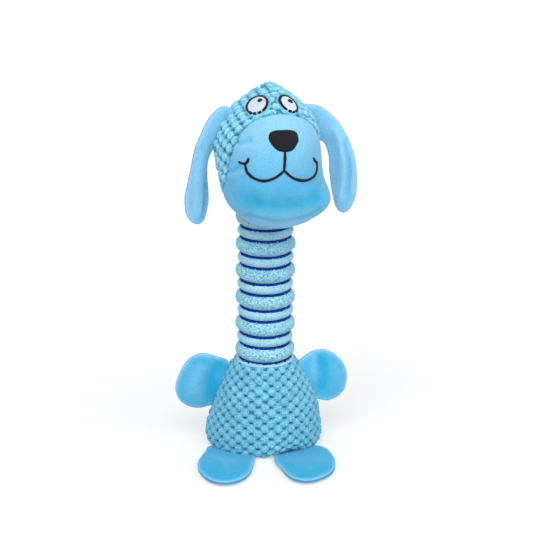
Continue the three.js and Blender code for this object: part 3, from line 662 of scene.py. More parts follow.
def feed(tree, socket, value):
    """Sets a socket to a value, or joins it to another socket or to a node's first output."""
    if isinstance(value, bpy.types.Node):
        value = value.outputs[0]
    if isinstance(value, bpy.types.NodeSocket):
        tree.links.new(value, socket)
    else:
        socket.default_value = value


def fed_node(tree, kind, *inputs):
    """A shader node with its inputs fed in their order."""
    node = tree.nodes.new("ShaderNode" + kind)
    for socket, value in zip(node.inputs, inputs):
        feed(tree, socket, value)
    return node


class Finish:
    """A node material under construction."""

    def __init__(self, name, roughness, sheen=0.0, sheen_colour=(255, 255, 255)):
        self.material = bpy.data.materials.new(name)
        self.material.use_nodes = True
        self.tree = self.material.node_tree
        self.shader = self.tree.nodes["Principled BSDF"]
        self.shader.inputs["Roughness"].default_value = roughness
        self.shader.inputs["Specular IOR Level"].default_value = 0.2
        self.shader.inputs["Sheen Weight"].default_value = sheen
        self.shader.inputs["Sheen Roughness"].default_value = 0.5
        self.shader.inputs["Sheen Tint"].default_value = linear(sheen_colour)
        self.place = self.read("rest", "Vector")

    def add(self, kind, **inputs):
        node = self.tree.nodes.new("ShaderNode" + kind)
        for name, value in inputs.items():
            feed(self.tree, node.inputs[name.replace("_", " ")], value)
        return node

    def read(self, name, output):
        node = self.tree.nodes.new("ShaderNodeAttribute")
        node.attribute_name = name
        return node.outputs[output]

    def grain(self, size, detail=2.0, stretch=(1, 1, 1)):
        """Noise from 0 to 1 with grains of the given size in millimetres."""
        mapping = self.add("Mapping", Vector=self.place, Scale=stretch)
        node = self.add("TexNoise", Vector=mapping.outputs["Vector"], Scale=1 / size, Detail=detail)
        return node.outputs["Fac"]

    def ramp(self, value, *stops):
        """A colour for each value, through (value, colour) stops."""
        node = self.add("ValToRGB", Fac=value)
        elements = node.color_ramp.elements
        while len(elements) < len(stops):
            elements.new(0.5)
        for element, (place, colour) in zip(elements, stops):
            element.position = place
            element.color = linear(colour)
        return node.outputs["Color"]

    def mix(self, kind, factor, first, second):
        node = self.tree.nodes.new("ShaderNodeMix")
        node.data_type = "RGBA"
        node.blend_type = kind
        for index, value in ((0, factor), (6, first), (7, second)):
            feed(self.tree, node.inputs[index], value)
        return node.outputs[2]

    def math(self, kind, first, second):
        node = fed_node(self.tree, "Math", first, second)
        node.operation = kind
        return node.outputs[0]

    def colour(self, socket):
        feed(self.tree, self.shader.inputs["Base Color"], socket)

    def bump(self, height, distance, strength=1.0):
        """Roughens the surface by up to a distance in millimetres."""
        node = self.add("Bump", Height=height, Distance=distance * MM, Strength=strength)
        feed(self.tree, self.shader.inputs["Normal"], node)


def dotted_plush():
    """Puffed plush: deep in painted shade in its holes, pale in painted light and flecked on its puffs,
    with painted glints there, and in painted shade over the torso.
    """
    finish = Finish("dotted_plush", 0.95, 0.3, (200, 240, 252))
    pile = finish.read("pile", "Fac")
    painted_light = finish.read("painted_light", "Fac")
    curls = finish.grain(1.3, 3)
    tips = finish.grain(0.9, 2)
    patch = finish.grain(14)
    # Painted shade deep in the holes and painted light on the puff tops, by the puffs' height
    depth = finish.ramp(
        pile, (0.0, (14, 104, 140)), (0.35, (58, 156, 189)),
        (0.7, (140, 212, 232)), (1.0, (182, 231, 244)))
    flecks = finish.ramp(
        curls, (0.36, (120, 186, 206)), (0.5, (214, 234, 240)), (0.62, (255, 255, 255)))
    glints = finish.ramp(tips, (0.54, (0, 0, 0)), (0.72, (120, 140, 145)))
    tone = finish.ramp(patch, (0.3, (232, 242, 246)), (0.7, (255, 255, 255)))
    # Painted shade over the torso, none over the head
    laid = finish.mix("MIX", painted_light, linear((204, 226, 234)), linear((255, 255, 255)))
    speckled = finish.mix("MULTIPLY", 0.8, depth, flecks)
    lit = finish.mix("ADD", pile, speckled, glints)
    shaded = finish.mix("MULTIPLY", 1.0, lit, laid)
    finish.colour(finish.mix("MULTIPLY", 1.0, shaded, tone))
    finish.bump(curls, 0.8, 0.9)
    return finish.material


def smooth_plush():
    """Short plush: deep in painted shade and pale in painted light, partly the pile's lay, and dark
    with painted shade in a seam.
    """
    finish = Finish("smooth_plush", 0.9, 0.4, (205, 232, 255))
    patches = finish.math("MULTIPLY", finish.math("SUBTRACT", finish.grain(8, 3), 0.5), 0.3)
    # Painted light and shade by piece, partly the pile's lay, with random patches
    stand = finish.math("ADD", finish.read("painted_light", "Fac"), patches)
    tone = finish.mix("MIX", stand, linear((40, 166, 207)), linear((150, 205, 235)))
    fibre = finish.grain(0.9, 3)
    pile = finish.ramp(fibre, (0.36, (214, 232, 242)), (0.62, (255, 255, 255)))
    laid = finish.mix("MULTIPLY", 0.8, tone, pile)
    # Painted shade in the groove of each seam
    sewn = finish.math("MULTIPLY", finish.read("seam", "Fac"), 0.8)
    finish.colour(finish.mix("MIX", sewn, laid, linear((24, 88, 132))))
    finish.bump(fibre, 0.3, 0.6)
    return finish.material


def rib_plush():
    """Curled terry of the neck, smooth in the grooves."""
    finish = Finish("rib_plush", 0.95, 0.25, (205, 238, 248))
    curls = finish.grain(1.5, 3, (1, 1, 1.6))
    patch = finish.grain(9)
    tone = finish.ramp(patch, (0.3, (160, 209, 223)), (0.7, (176, 217, 229)))
    flecks = finish.ramp(
        curls, (0.36, (96, 178, 204)), (0.46, (206, 231, 239)), (0.6, (255, 255, 255)))
    terry = finish.read("terry", "Fac")
    finish.colour(finish.mix("MULTIPLY", terry, tone, flecks))
    finish.bump(curls, 0.8, 0.9)
    return finish.material


def line_plush():
    finish = Finish("line_plush", 0.95, 0.1, (120, 150, 255))
    curls = finish.grain(0.8, 3)
    finish.colour(finish.ramp(curls, (0.3, (4, 34, 112)), (0.5, (8, 56, 158)), (0.7, (20, 84, 190))))
    finish.bump(curls, 0.5, 0.8)
    return finish.material


def thread(name, dark, light):
    """Satin stitches that lie across the drawn line, with painted shade between strands and a random
    tone.
    """
    finish = Finish(name, 0.7, 0.03)
    stitch = finish.read("stitch", "Fac")
    strand = finish.math("SINE", finish.math("MULTIPLY", stitch, 2 * math.pi / THREAD_WIDTH), 0.0)
    loose = finish.grain(1.2, 2)
    height = finish.math("ADD", finish.math("MULTIPLY", strand, 0.3), loose)
    # Painted shade in the grooves between strands and painted light on their tops, with a random tone
    # from loose fibres
    finish.colour(finish.ramp(height, (0.15, dark), (0.95, light)))
    finish.bump(height, 0.22, 0.7)
    return finish.material


def inner_finish(name, colour, light, roughness, size, translucent=0.0):
    """For what is hidden inside: a mottled colour with a fine grain."""
    finish = Finish(name, roughness)
    finish.place = finish.add("TexCoord").outputs["Object"]
    grain = finish.grain(size * MM, 3)
    finish.colour(finish.ramp(grain, (0.3, colour), (0.7, light)))
    finish.shader.inputs["Transmission Weight"].default_value = translucent
    finish.bump(grain, 0.1, 0.3)
    return finish.material


DOTTED = dotted_plush()
SMOOTH = smooth_plush()
RIBBED = rib_plush()
LINE = line_plush()
BLACK = thread("black_thread", (4, 4, 9), (25, 25, 35))
WHITE = thread("white_thread", (188, 202, 224), (228, 237, 250))


def joint(name):
    """A joint's place in millimetres and its axis."""
    found = next(j for j in frame["joints"] if j["name"] == name)
    return Vector(found["pos_m"]) / MM, Vector(found["axis"]).normalized()


# Torso

def torso_point(t, angle):
    swell = smooth(TORSO_SWELL, t)
    half = TORSO_RIM_RADIUS + swell * (TORSO_WIDTH / 2 - TORSO_RIM_RADIUS)
    deep = TORSO_RIM_RADIUS + swell * (TORSO_DEPTH / 2 - TORSO_RIM_RADIUS)
    height = TORSO_HEIGHT * smooth(TORSO_RISE, t) + 0 * angle
    across = smooth(TORSO_SWAY, t) + half * np.cos(angle)
    return np.stack([across, deep * np.sin(angle), height], -1)


def build_torso():
    angles = round_angles(TORSO_COLUMNS)
    rows = even_shares(lambda t: torso_point(t, np.zeros_like(t)), TORSO_ROWS)
    wall = torso_point(rows[:, None], angles[None, :])
    normal = grid_normals(wall)
    flat = np.zeros((TORSO_ROWS, TORSO_COLUMNS, 2))
    height = dots(in_panels(flat, torso_point, rows, angles, (0, 180, 360)))
    seam = fade(0, SIDE_SEAM_WIDTH, np.abs(wall[:, :, 1]))
    rim = fade(0, RIM_REACH, TORSO_HEIGHT - wall[:, :, 2])
    height = height * from_least(SEAM_PUFF, seam) * rim
    lift = DOT_HEIGHT * height - DOT_INSET - SEAM_SINK * (1 - seam)
    lift += fuzz(wall) * rim
    wall = wall + normal * lift[..., None]

    scales = np.linspace(0.01, 1, BASE_ROWS, endpoint=False)
    edge = torso_point(np.zeros_like(angles), angles)
    base = scales[:, None, None] * edge[None]
    base_height = dots(base[:, :, :2]) * fade(1, 0.93, scales)[:, None]
    base[:, :, 2] = DOT_INSET * (1 - base_height) + BASE_CLEAR
    top = torso_point(np.ones_like(angles), angles)
    tucks = [top * (share, share, 1) + (0, 0, rise) for share, rise in TUCKS]
    grid = np.concatenate([base, wall, tucks])
    near = np.exp(-((np.degrees(angles) - EDGE_LIFT_ANGLE) / EDGE_LIFT_SPAN) ** 2)
    rising = fade(EDGE_LIFT_REACH, 0, grid[:, :, 2])
    rising[:BASE_ROWS] *= fade(0.6, 0.95, scales)[:, None]
    grid[:, :, 2] = np.maximum(grid[:, :, 2] + EDGE_LIFT * near * rising, BASE_CLEAR)
    pile = np.concatenate([base_height, height, np.zeros((len(TUCKS), TORSO_COLUMNS))])
    points, faces = closed_grid(grid)
    torso = new_piece("torso_plush", points, faces, DOTTED)
    # The puffs' height sets the painted shade in the holes and the painted light on the puffs
    mark(torso, "pile", np.interp(np.concatenate([pile.ravel(), [0.5, 0]]), (0, 1), TORSO_PAINTED_PUFF_SHADE))
    # The torso is in painted shade
    mark(torso, "painted_light", np.full(len(points), TORSO_PAINTED_LIGHT))
    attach(torso, "torso")
    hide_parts("torso_front_cover", "torso_back_cover", "torso_base_panel", "torso_stuffing")


# Neck

def neck_ribs():
    """The hem and the ribs from the torso up, each with its two heights, its radius and its curls."""
    ribs = [(SLEEVE_LOW - HEM_HEIGHT, SLEEVE_LOW, HEM_RADIUS, HEM_CURLS)]
    low = SLEEVE_LOW
    wide = (WIDE_RIB_HEIGHT, WIDE_RIB_RADIUS, WIDE_RIB_CURLS)
    narrow = (NARROW_RIB_HEIGHT, NARROW_RIB_RADIUS, NARROW_RIB_CURLS)
    for height, radius, curls in (wide, narrow) * RIB_PAIRS:
        ribs.append((low, low + height, radius, curls))
        low += height
    return ribs


def rib_rows(ribs):
    """For each row of a sleeve: its height, radius, belly and curls, with close rows at the grooves."""
    shares = (1 - np.cos(np.linspace(0, math.pi, RIB_ROWS))) / 2
    rows = []
    for low, high, radius, curls in ribs:
        for share in shares[:-1]:
            belly = (1 - abs(2 * share - 1) ** RIB_FULLNESS) ** RIB_ROUNDNESS
            height = low + share * (high - low)
            rows.append((height, GROOVE_RADIUS + (radius - GROOVE_RADIUS) * belly, belly, curls))
    rows.append((ribs[-1][1], GROOVE_RADIUS, 0, ribs[-1][3]))
    return np.array(rows).T


def build_sleeve(name, ribs, replaced):
    """One stretch of the sleeve, closed inside."""
    edges = np.array([rib[0] for rib in ribs] + [ribs[-1][1]])
    low, high = edges[0], edges[-1]
    angles = round_angles(SLEEVE_COLUMNS)
    heights, radius, belly, curls = rib_rows(ribs)
    ring = np.stack([np.cos(angles), np.sin(angles)], -1)
    outer = np.zeros((len(heights), SLEEVE_COLUMNS, 3))
    outer[:, :, :2] = radius[:, None, None] * ring[None]
    outer[:, :, 2] = heights[:, None]
    rough = CURL_HEIGHT * curls * fade(0.1, 0.7, belly)
    curl = (wobble(outer, 2.2, 3) + 0.6 * wobble(outer, 1.1, 6)) * rough[:, None]
    sag = SLEEVE_SAG * wobble(outer, 16, 5)
    outer[:, :, :2] *= (1 + (curl + sag) / radius[:, None])[..., None]
    top = SLEEVE_LOW + RIB_PAIRS * (WIDE_RIB_HEIGHT + NARROW_RIB_HEIGHT)
    outer[:, :, 0] += NECK_LEAN * ((heights - SLEEVE_LOW) / (top - SLEEVE_LOW))[:, None]

    inner_low = np.concatenate([SLEEVE_BORE_RADIUS * ring, np.full((SLEEVE_COLUMNS, 1), low)], 1)
    inner_high = inner_low + (0, 0, high - low)
    grid = np.concatenate([outer, [inner_high], [inner_low]])
    faces = ring_faces(len(grid), SLEEVE_COLUMNS, hollow=True)
    piece = new_piece(name, grid.reshape(-1, 3), faces, RIBBED, LINE)
    terry = np.repeat((curls * fade(0.05, 0.5, belly))[:, None], SLEEVE_COLUMNS, 1)
    mark(piece, "terry", np.concatenate([terry, np.zeros((2, SLEEVE_COLUMNS))]).ravel())

    grooves = edges[edges > SLEEVE_LOW - 1]
    middle = (outer[:-1] + outer[1:]) / 2
    uneven = LINE_RAGGED * (wobble(middle, 1.4, 7) + 0.5 * wobble(middle, 5, 8))
    over = middle[:, :, 2][..., None] - grooves
    below = np.where(grooves > SLEEVE_LOW + 1, LINE_BELOW, HEM_LINE)
    on_line = (over < LINE_ABOVE) & (over > uneven[..., None] - below)
    index = np.zeros(len(faces), int)
    index[:on_line.shape[0] * SLEEVE_COLUMNS] = on_line.any(-1).ravel()
    piece.data.polygons.foreach_set("material_index", index)
    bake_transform(piece)
    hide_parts(*replaced)


def build_neck():
    ribs = neck_ribs()
    build_sleeve(
        "neck_sleeve_lower", ribs[:LOWER_RINGS],
        ["neck_sleeve", "neck_stuffing_lower"])
    build_sleeve(
        "neck_sleeve_upper", ribs[LOWER_RINGS:],
        ["neck_stuffing_upper"])


# Head

HEAD_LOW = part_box("muzzle_cover")[0].z / MM
HEAD_FRAME = Matrix.Translation((0, 0, HEAD_LOW)) @ Matrix.Rotation(math.radians(HEAD_TURN), 4, "Z")


def head_point(t, angle):
    middle = HEAD_REACH * smooth(HEAD_MIDDLE, t)
    share = smooth(HEAD_RISE, t)
    left = np.cos(angle) >= 0
    half = HEAD_WIDTH / 2 * np.where(left, smooth(HEAD_SIDE_LEFT, t), smooth(HEAD_SIDE_RIGHT, t))
    rise = HEAD_BACK * smooth(HEAD_NAPE, t) - middle
    drop = middle + HEAD_REACH * smooth(HEAD_FRONT, t)
    back = np.sin(angle) >= 0
    cheek = np.where(left, smooth(HEAD_CHEEK_LEFT, t), HEAD_CHEEK_RIGHT)
    power = np.where(back, smooth(HEAD_NECKLINE, t), cheek)
    x = HEAD_LEAN * share ** 2 + half * fuller(np.cos(angle), power)
    y = middle + fuller(np.sin(angle), power) * np.where(back, rise, drop)
    return np.stack([x, y, HEAD_HEIGHT * share + 0 * angle], -1)


def panel_outline():
    """The face panel's edge as seen from the front, closed far below the chin."""
    corners = np.array([*PANEL_LEFT, (0, PANEL_TOP), *reversed(PANEL_RIGHT)])
    curve = smooth(corners, np.linspace(0, 1, 160))
    return np.concatenate([[(curve[0, 0], PANEL_LOW)], curve, [(curve[-1, 0], PANEL_LOW)]])


def on_panel(grid):
    """Whether places on the head lie inside the face panel's seam."""
    x, y, z = np.moveaxis(grid, -1, 0)
    share = z / HEAD_HEIGHT
    back = np.where(x > 0, smooth(PANEL_BACK_LEFT, share), smooth(PANEL_BACK_RIGHT, share))
    return inside_outline(panel_outline(), x, z) & (y < -back)


def panel_distance(grid):
    """Distance of each place on the head from the face panel's seam, positive inside the panel."""
    inside = on_panel(grid)
    changes = []
    for axis in (0, 1):
        other = np.roll(inside, -1, axis=axis)
        crossed = inside != other
        if axis == 0:
            crossed[-1] = False
        changes.append((grid[crossed] + np.roll(grid, -1, axis=axis)[crossed]) / 2)
    seam = np.concatenate(changes)
    distance = np.full(grid.shape[:2], np.inf)
    for point in seam[::2]:
        distance = np.minimum(distance, np.linalg.norm(grid - point, axis=2))
    return np.where(inside, distance, -distance)


def head_grid():
    angles = round_angles(HEAD_COLUMNS)
    rows = even_shares(lambda t: head_point(t, np.full_like(t, 0.75 * math.pi)), HEAD_ROWS)
    return rows, angles, head_point(rows[:, None], angles[None, :])


def eye_place(side, tree):
    """The frame that an eye is drawn in: X to the toy's left, Z up, Y into the head."""
    x, z = EYE_PLACE[side]
    spot = tree.ray_cast(Vector((x, -2 * HEAD_REACH, z)), Vector((0, 1, 0)))[0]
    yaw = Matrix.Rotation(math.radians(EYE_YAW[side]), 4, "Z")
    pitch = Matrix.Rotation(math.radians(-EYE_PITCH), 4, "X")
    across, up = EYE_SLIDE[side]
    return Matrix.Translation(spot) @ yaw @ pitch @ Matrix.Translation((across, 0, up))


def oval(half_length, half_width, tilt, angles):
    """Places on an oval tilted from the horizontal."""
    cos = math.cos(math.radians(tilt))
    sin = math.sin(math.radians(tilt))
    x = half_length * np.cos(angles)
    z = half_width * np.sin(angles)
    return np.stack([x * cos - z * sin, x * sin + z * cos], -1)


def eye_cover(grid, tree):
    """How far each place of the head lies under an eye, from 0 to 1."""
    cover = np.zeros(grid.shape[:2])
    for side, (length, width) in EYE_SIZE.items():
        local = placed(eye_place(side, tree).inverted(), grid)
        tilt = math.radians(EYE_TILT[side])
        along = local[:, :, 0] * math.cos(tilt) + local[:, :, 2] * math.sin(tilt)
        across = -local[:, :, 0] * math.sin(tilt) + local[:, :, 2] * math.cos(tilt)
        reach = np.hypot(along / (length / 2), across / (width / 2))
        near = np.abs(local[:, :, 1]) < length
        cover = np.maximum(cover, near * fade(1.2, 1.0, reach))
    return cover


def cloth_pull(points):
    """How much each place counts as the head's cloth is laid flat: little under the face panel."""
    return np.where(on_panel(points), HIDDEN_PULL, 1.0)


def build_head(rows, angles, grid, distance, tree):
    normal = grid_normals(grid)
    flat = one_cap(head_point, rows, angles, cloth_pull)
    flat = in_panels(flat, head_point, rows, angles, HEAD_BACK_TURNS)
    grain = np.array(Matrix.Rotation(math.radians(HEAD_GRAIN), 2))
    height = dots(flat @ grain.T / HEAD_STRETCH, HEAD_DOT_RADIUS)
    behind = np.where(grid[:, :, 1] > 0, np.abs(grid[:, :, 0]), HEAD_WIDTH)
    seam = fade(0, HEAD_SEAM_WIDTH, behind)
    cover = eye_cover(grid, tree)
    edge = fade(*PANEL_EDGE_REACH, -distance)
    height = height * from_least(SEAM_PUFF, seam) * from_least(PANEL_EDGE_PUFF, edge)
    height = height * (1 - cover) + EYE_PUFF * cover
    lift = DOT_HEIGHT * height - DOT_INSET - SEAM_SINK * (1 - seam) - PANEL_EDGE_SINK * (1 - edge)
    lift += fuzz(grid) * (1 - cover)
    lift -= PANEL_SINK * fade(0, HEAD_SINK_REACH, distance)
    points, faces = closed_grid(grid + normal * lift[..., None])
    head = new_piece("head_plush", placed(HEAD_FRAME, points), faces, DOTTED)
    # The puffs' height sets the painted shade in the holes and the painted light on the puffs
    mark(head, "pile", np.interp(np.concatenate([height.ravel(), [0.5, 0.5]]), (0, 1), HEAD_PAINTED_PUFF_SHADE))
    # The head is in painted light
    mark(head, "painted_light", np.full(len(points), HEAD_PAINTED_LIGHT))
    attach(head, "head")
    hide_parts("head_cover", "head_stuffing")


def build_muzzle(grid, distance):
    normal = grid_normals(grid)
    roll = np.sqrt(np.clip(1 - (1 - np.clip(distance / PANEL_ROLL, 0, 1)) ** 2, 0, 1))
    lift = PANEL_RISE * roll - PANEL_INSET - PANEL_SINK * fade(0, -PANEL_SINK_REACH, distance)
    lift += PANEL_UNEVEN * wobble(grid, 9, 11)
    seen = grid[:, :, (0, 2)].reshape(-1, 2)
    folds = fold_depth(PANEL_FOLDS, seen).reshape(lift.shape)
    lift -= folds
    points = grid + normal * lift[..., None]
    rows, columns = distance.shape
    faces = np.array(ring_faces(rows, columns))
    kept = (distance.ravel()[faces] > -PANEL_MARGIN).all(axis=1)
    used, faces = np.unique(faces[kept], return_inverse=True)
    faces = faces.reshape(-1, 4)
    chin = np.searchsorted(used, np.arange(columns))
    faces = [*faces.tolist(), chin[::-1].tolist()]
    muzzle = new_piece("muzzle_plush", placed(HEAD_FRAME, points.reshape(-1, 3)[used]), faces, SMOOTH)
    # Painted light on top and at the chin, painted shade under the mouth and in fold valleys, painted
    # highlights on fold ridges
    painted_light = smooth(MUZZLE_PAINTED_LIGHT, grid[:, :, 2] / HEAD_HEIGHT) - FOLD_PAINTED_SHADE * folds
    mark(muzzle, "painted_light", painted_light.ravel()[used])
    ply = muzzle.modifiers.new("ply", "SOLIDIFY")
    ply.thickness = PANEL_PLY * MM
    ply.offset = -1
    apply_modifiers(muzzle)
    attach(muzzle, "head")
    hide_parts("muzzle_cover")


# Embroidery on the face

def on_face(drawn, place, tree, lift):
    """Drawn places laid on the head, each lifted off its surface."""
    towards = place.to_3x3() @ Vector((0, 1, 0))
    points = []
    for (x, z), rise in zip(drawn, lift):
        origin = place @ Vector((x, -2 * HEAD_REACH, z))
        spot, normal, _, _ = tree.ray_cast(origin, towards)
        points.append(spot + normal * rise)
    return placed(HEAD_FRAME, np.array(points))


def sew_on(piece, node):
    """Fixes a piece of embroidery to the head, in place of a solid."""
    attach(piece, "head")
    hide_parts(node)


def stitched_patch(name, outline, place, tree, lifts, material, node, rings=9):
    """A filled, slightly domed patch of satin stitch inside an outline."""
    low, high = lifts
    centre = outline.mean(0)
    drawn = []
    lift = []
    for share in np.linspace(0.04, 1, rings):
        drawn.append(centre + share * (outline - centre))
        lift.append(np.full(len(outline), low + (high - low) * (1 - share ** 4) ** 0.5))
    for under in (outline, drawn[0]):
        drawn.append(under)
        lift.append(np.full(len(outline), low - STITCH_ROOT))
    drawn = np.concatenate(drawn)
    points = on_face(drawn, place, tree, np.concatenate(lift))
    grid = points.reshape(rings + 2, len(outline), 3)
    points, faces = closed_grid(grid[::-1])
    piece = new_piece(name, points, faces, material)
    stitch = drawn.reshape(rings + 2, len(outline), 2)[::-1, :, 0].ravel()
    mark(piece, "stitch", np.concatenate([stitch, [centre[0], centre[0]]]))
    sew_on(piece, node)


def stroke_mesh(path, widths, place, tree, lifts):
    """Points, faces and stitch places of a raised line of stitches along a drawn path."""
    low, high = lifts
    tangent = np.gradient(path, axis=0)
    tangent /= np.linalg.norm(tangent, axis=1, keepdims=True)
    across = np.stack([-tangent[:, 1], tangent[:, 0]], -1)
    run = run_along(path)
    section = np.linspace(0, math.pi, 7)
    offsets = np.concatenate([np.cos(section), [-1, 1]]) / 2
    root = low - STITCH_ROOT
    rises = np.concatenate([low + (high - low) * np.sin(section), [root, root]])
    drawn = path[:, None] + across[:, None] * (offsets[None, :] * widths[:, None])[..., None]
    lift = np.broadcast_to(rises, drawn.shape[:2])
    points = on_face(drawn.reshape(-1, 2), place, tree, lift.ravel())
    grid = points.reshape(len(path), len(offsets), 3)
    points, faces = closed_grid(grid)
    stitch = np.concatenate([np.repeat(run, len(offsets)), [0, run[-1]]])
    return points, faces, stitch


def stitch_reach(count, share):
    """How far each stitch along an edge reaches, about 1, each by its own amount."""
    return 1 + share * np.sin(STITCH_TURN * np.arange(count))


def taper(count, least):
    """Shares of a line's width along it, with the least at both ends."""
    return from_least(least, np.sin(np.linspace(0, math.pi, count)) ** STITCH_TAPER)


def stroke_piece(name, strokes, node):
    """One piece of several lines of stitches."""
    points = []
    faces = []
    stitches = []
    count = 0
    for stroke_points, stroke_faces, stitch in strokes:
        faces.extend([tuple(i + count for i in face) for face in stroke_faces])
        points.append(stroke_points)
        stitches.append(stitch)
        count += len(stroke_points)
    piece = new_piece(name, np.concatenate(points), faces, BLACK)
    mesh = bmesh.new()
    mesh.from_mesh(piece.data)
    bmesh.ops.recalc_face_normals(mesh, faces=mesh.faces)
    mesh.to_mesh(piece.data)
    mesh.free()
    mark(piece, "stitch", np.concatenate(stitches))
    sew_on(piece, node)


def build_eyes(tree):
    for side, (length, width) in EYE_SIZE.items():
        place = eye_place(side, tree)
        tilt = EYE_TILT[side]
        half_length = (length - EYE_RIM) / 2
        half_width = (width - EYE_RIM) / 2
        round_about = np.linspace(0, 2 * math.pi, 60, endpoint=False)
        white = oval(half_length, half_width, tilt, round_about)
        stitched_patch(
            f"{side}_eye_white_stitches", white, place, tree, WHITE_LIFT,
            WHITE, f"{side}_eye_white")
        pupil = oval(PUPIL_RADIUS, PUPIL_RADIUS, 0, round_about[::2]) + PUPIL_PLACE[side]
        stitched_patch(
            f"{side}_pupil_stitches", pupil, place, tree, PUPIL_LIFT,
            BLACK, f"{side}_pupil", rings=6)
        strokes = []
        for first, last in EYE_RIM_ARCS:
            upright = np.radians(np.linspace(first, last, max(6, (last - first) // 3)))
            line = oval(half_length, half_width, tilt, upright - math.radians(tilt))
            outer = np.clip(np.cos(upright) * place.translation.x, 0, None) / abs(place.translation.x)
            upper = 1 - EYE_RIM_TOP + EYE_RIM_TOP * np.sin(upright)
            widths = EYE_RIM * taper(len(line), EYE_RIM_END) * (upper + EYE_RIM_OUTER * outer)
            widths *= stitch_reach(len(line), LINE_UNEVEN)
            strokes.append(stroke_mesh(line, widths, place, tree, RIM_LIFT))
        stroke_piece(f"{side}_eye_rim_stitches", strokes, f"{side}_eye_rim")


def build_nose_and_mouth(tree):
    front = Matrix.Identity(4)
    nose = closed_curve(NOSE_OUTLINE, 80)
    middle = nose.mean(0)
    nose = middle + (nose - middle) * stitch_reach(len(nose), NOSE_UNEVEN)[:, None]
    stitched_patch(
        "nose_stitches", nose, front, tree, NOSE_LIFT, BLACK, "nose_patch", rings=12)

    uneven = MOUTH_WAVE * np.sin(np.linspace(0, MOUTH_WAVE_TURN, MOUTH_POINTS))
    shares = (taper(MOUTH_POINTS, MOUTH_END) + uneven) * stitch_reach(MOUTH_POINTS, LINE_UNEVEN)
    strokes = []
    for line, width in MOUTH_LINES:
        path = smooth(line, np.linspace(0, 1, MOUTH_POINTS))
        strokes.append(stroke_mesh(path, width * shares, front, tree, MOUTH_LIFT))
    stroke_piece("mouth_stitches", strokes, "mouth_stitching")


# Arms, feet and ears

def cloth_places(outline):
    """Evenly spread places inside an outline, each with its distance from it."""
    low = outline.min(0)
    columns, rows = ((outline.max(0) - low) / FLAP_STEP / (1, FLAP_ROW)).astype(int) + 2
    row, column = np.mgrid[0:rows, 0:columns]
    lattice = np.stack([column + row % 2 / 2, row * FLAP_ROW], -1).reshape(-1, 2) * FLAP_STEP + low
    gap = np.linalg.norm(lattice - nearest_on([*outline, outline[0]], lattice), axis=1)
    kept = inside_outline(outline, lattice[:, 0], lattice[:, 1]) & (gap > 0.7 * FLAP_STEP)
    return lattice[kept], gap[kept]


def flap_mesh(outline, half, roll, edge):
    """Points and faces of two plies sewn round an outline, and each point's distance from the seam."""
    count = len(outline)
    inner, gap = cloth_places(outline)
    flat = np.concatenate([outline, inner])
    ring = [(i, (i + 1) % count) for i in range(count)]
    triangles = delaunay_2d_cdt([Vector(place) for place in flat], ring, [], 1, 1e-5)[2]
    depth = np.concatenate([np.zeros(count), gap])
    crown = np.sqrt(1 - (1 - np.clip(depth / roll, 0, 1)) ** 2)
    upper = np.column_stack([flat, edge + (half - edge) * crown])
    lower = upper * (1, 1, -1)
    along = np.roll(outline, -1, axis=0) - np.roll(outline, 1, axis=0)
    along /= np.linalg.norm(along, axis=1, keepdims=True)
    inward = np.stack([-along[:, 1], along[:, 0]], -1)
    seam = np.column_stack([outline + SEAM_DEPTH * inward, np.zeros(count)])
    points = np.concatenate([upper, lower, seam])
    under = len(flat)
    faces = []
    for a, b, c in triangles:
        faces.append((a, b, c))
        faces.append((under + c, under + b, under + a))
    for i, j in ring:
        faces.append((i, 2 * under + i, 2 * under + j, j))
        faces.append((2 * under + i, under + i, under + j, 2 * under + j))
    return points, faces, np.concatenate([depth, depth, np.zeros(count)])


def stuff(points, faces, held, most):
    """Swells a sewn flap as stuffing does, by cloth simulation, with some points held in place."""
    mesh = bpy.data.meshes.new("swelling")
    mesh.from_pydata((points * MM * SIM_SCALE).tolist(), [], faces)
    flap = linked("swelling", mesh)
    pins = flap.vertex_groups.new(name="held")
    pins.add(np.nonzero(held)[0].tolist(), 1.0, "ADD")
    cloth = flap.modifiers.new("stuffing", "CLOTH")
    cloth.settings.use_pressure = True
    cloth.settings.uniform_pressure_force = SIM_PRESSURE
    cloth.settings.effector_weights.gravity = 0
    cloth.settings.vertex_group_mass = pins.name
    cloth.collision_settings.use_collision = False
    cloth.point_cache.frame_start = 1
    cloth.point_cache.frame_end = SIM_FRAMES
    for step in range(1, SIM_FRAMES + 1):
        bpy.context.scene.frame_set(step)
    graph = bpy.context.evaluated_depsgraph_get()
    swollen = flap.evaluated_get(graph).data
    result = np.zeros(len(points) * 3)
    swollen.vertices.foreach_get("co", result)
    bpy.data.objects.remove(flap)
    bpy.context.scene.frame_set(1)
    move = result.reshape(-1, 3) / (MM * SIM_SCALE) - points
    length = np.maximum(np.linalg.norm(move, axis=1, keepdims=True), 1e-9)
    return points + move * np.minimum(1, most / length)


def sewn_flap(outline, half, roll, edge, held, most):
    """A stuffed flap: its points, its faces and each point's distance from the seam."""
    points, faces, inset = flap_mesh(closed_curve(outline, FLAP_POINTS), half, roll, edge)
    return stuff(points, faces, (inset == 0) | (points[:, 0] < held), most), faces, inset


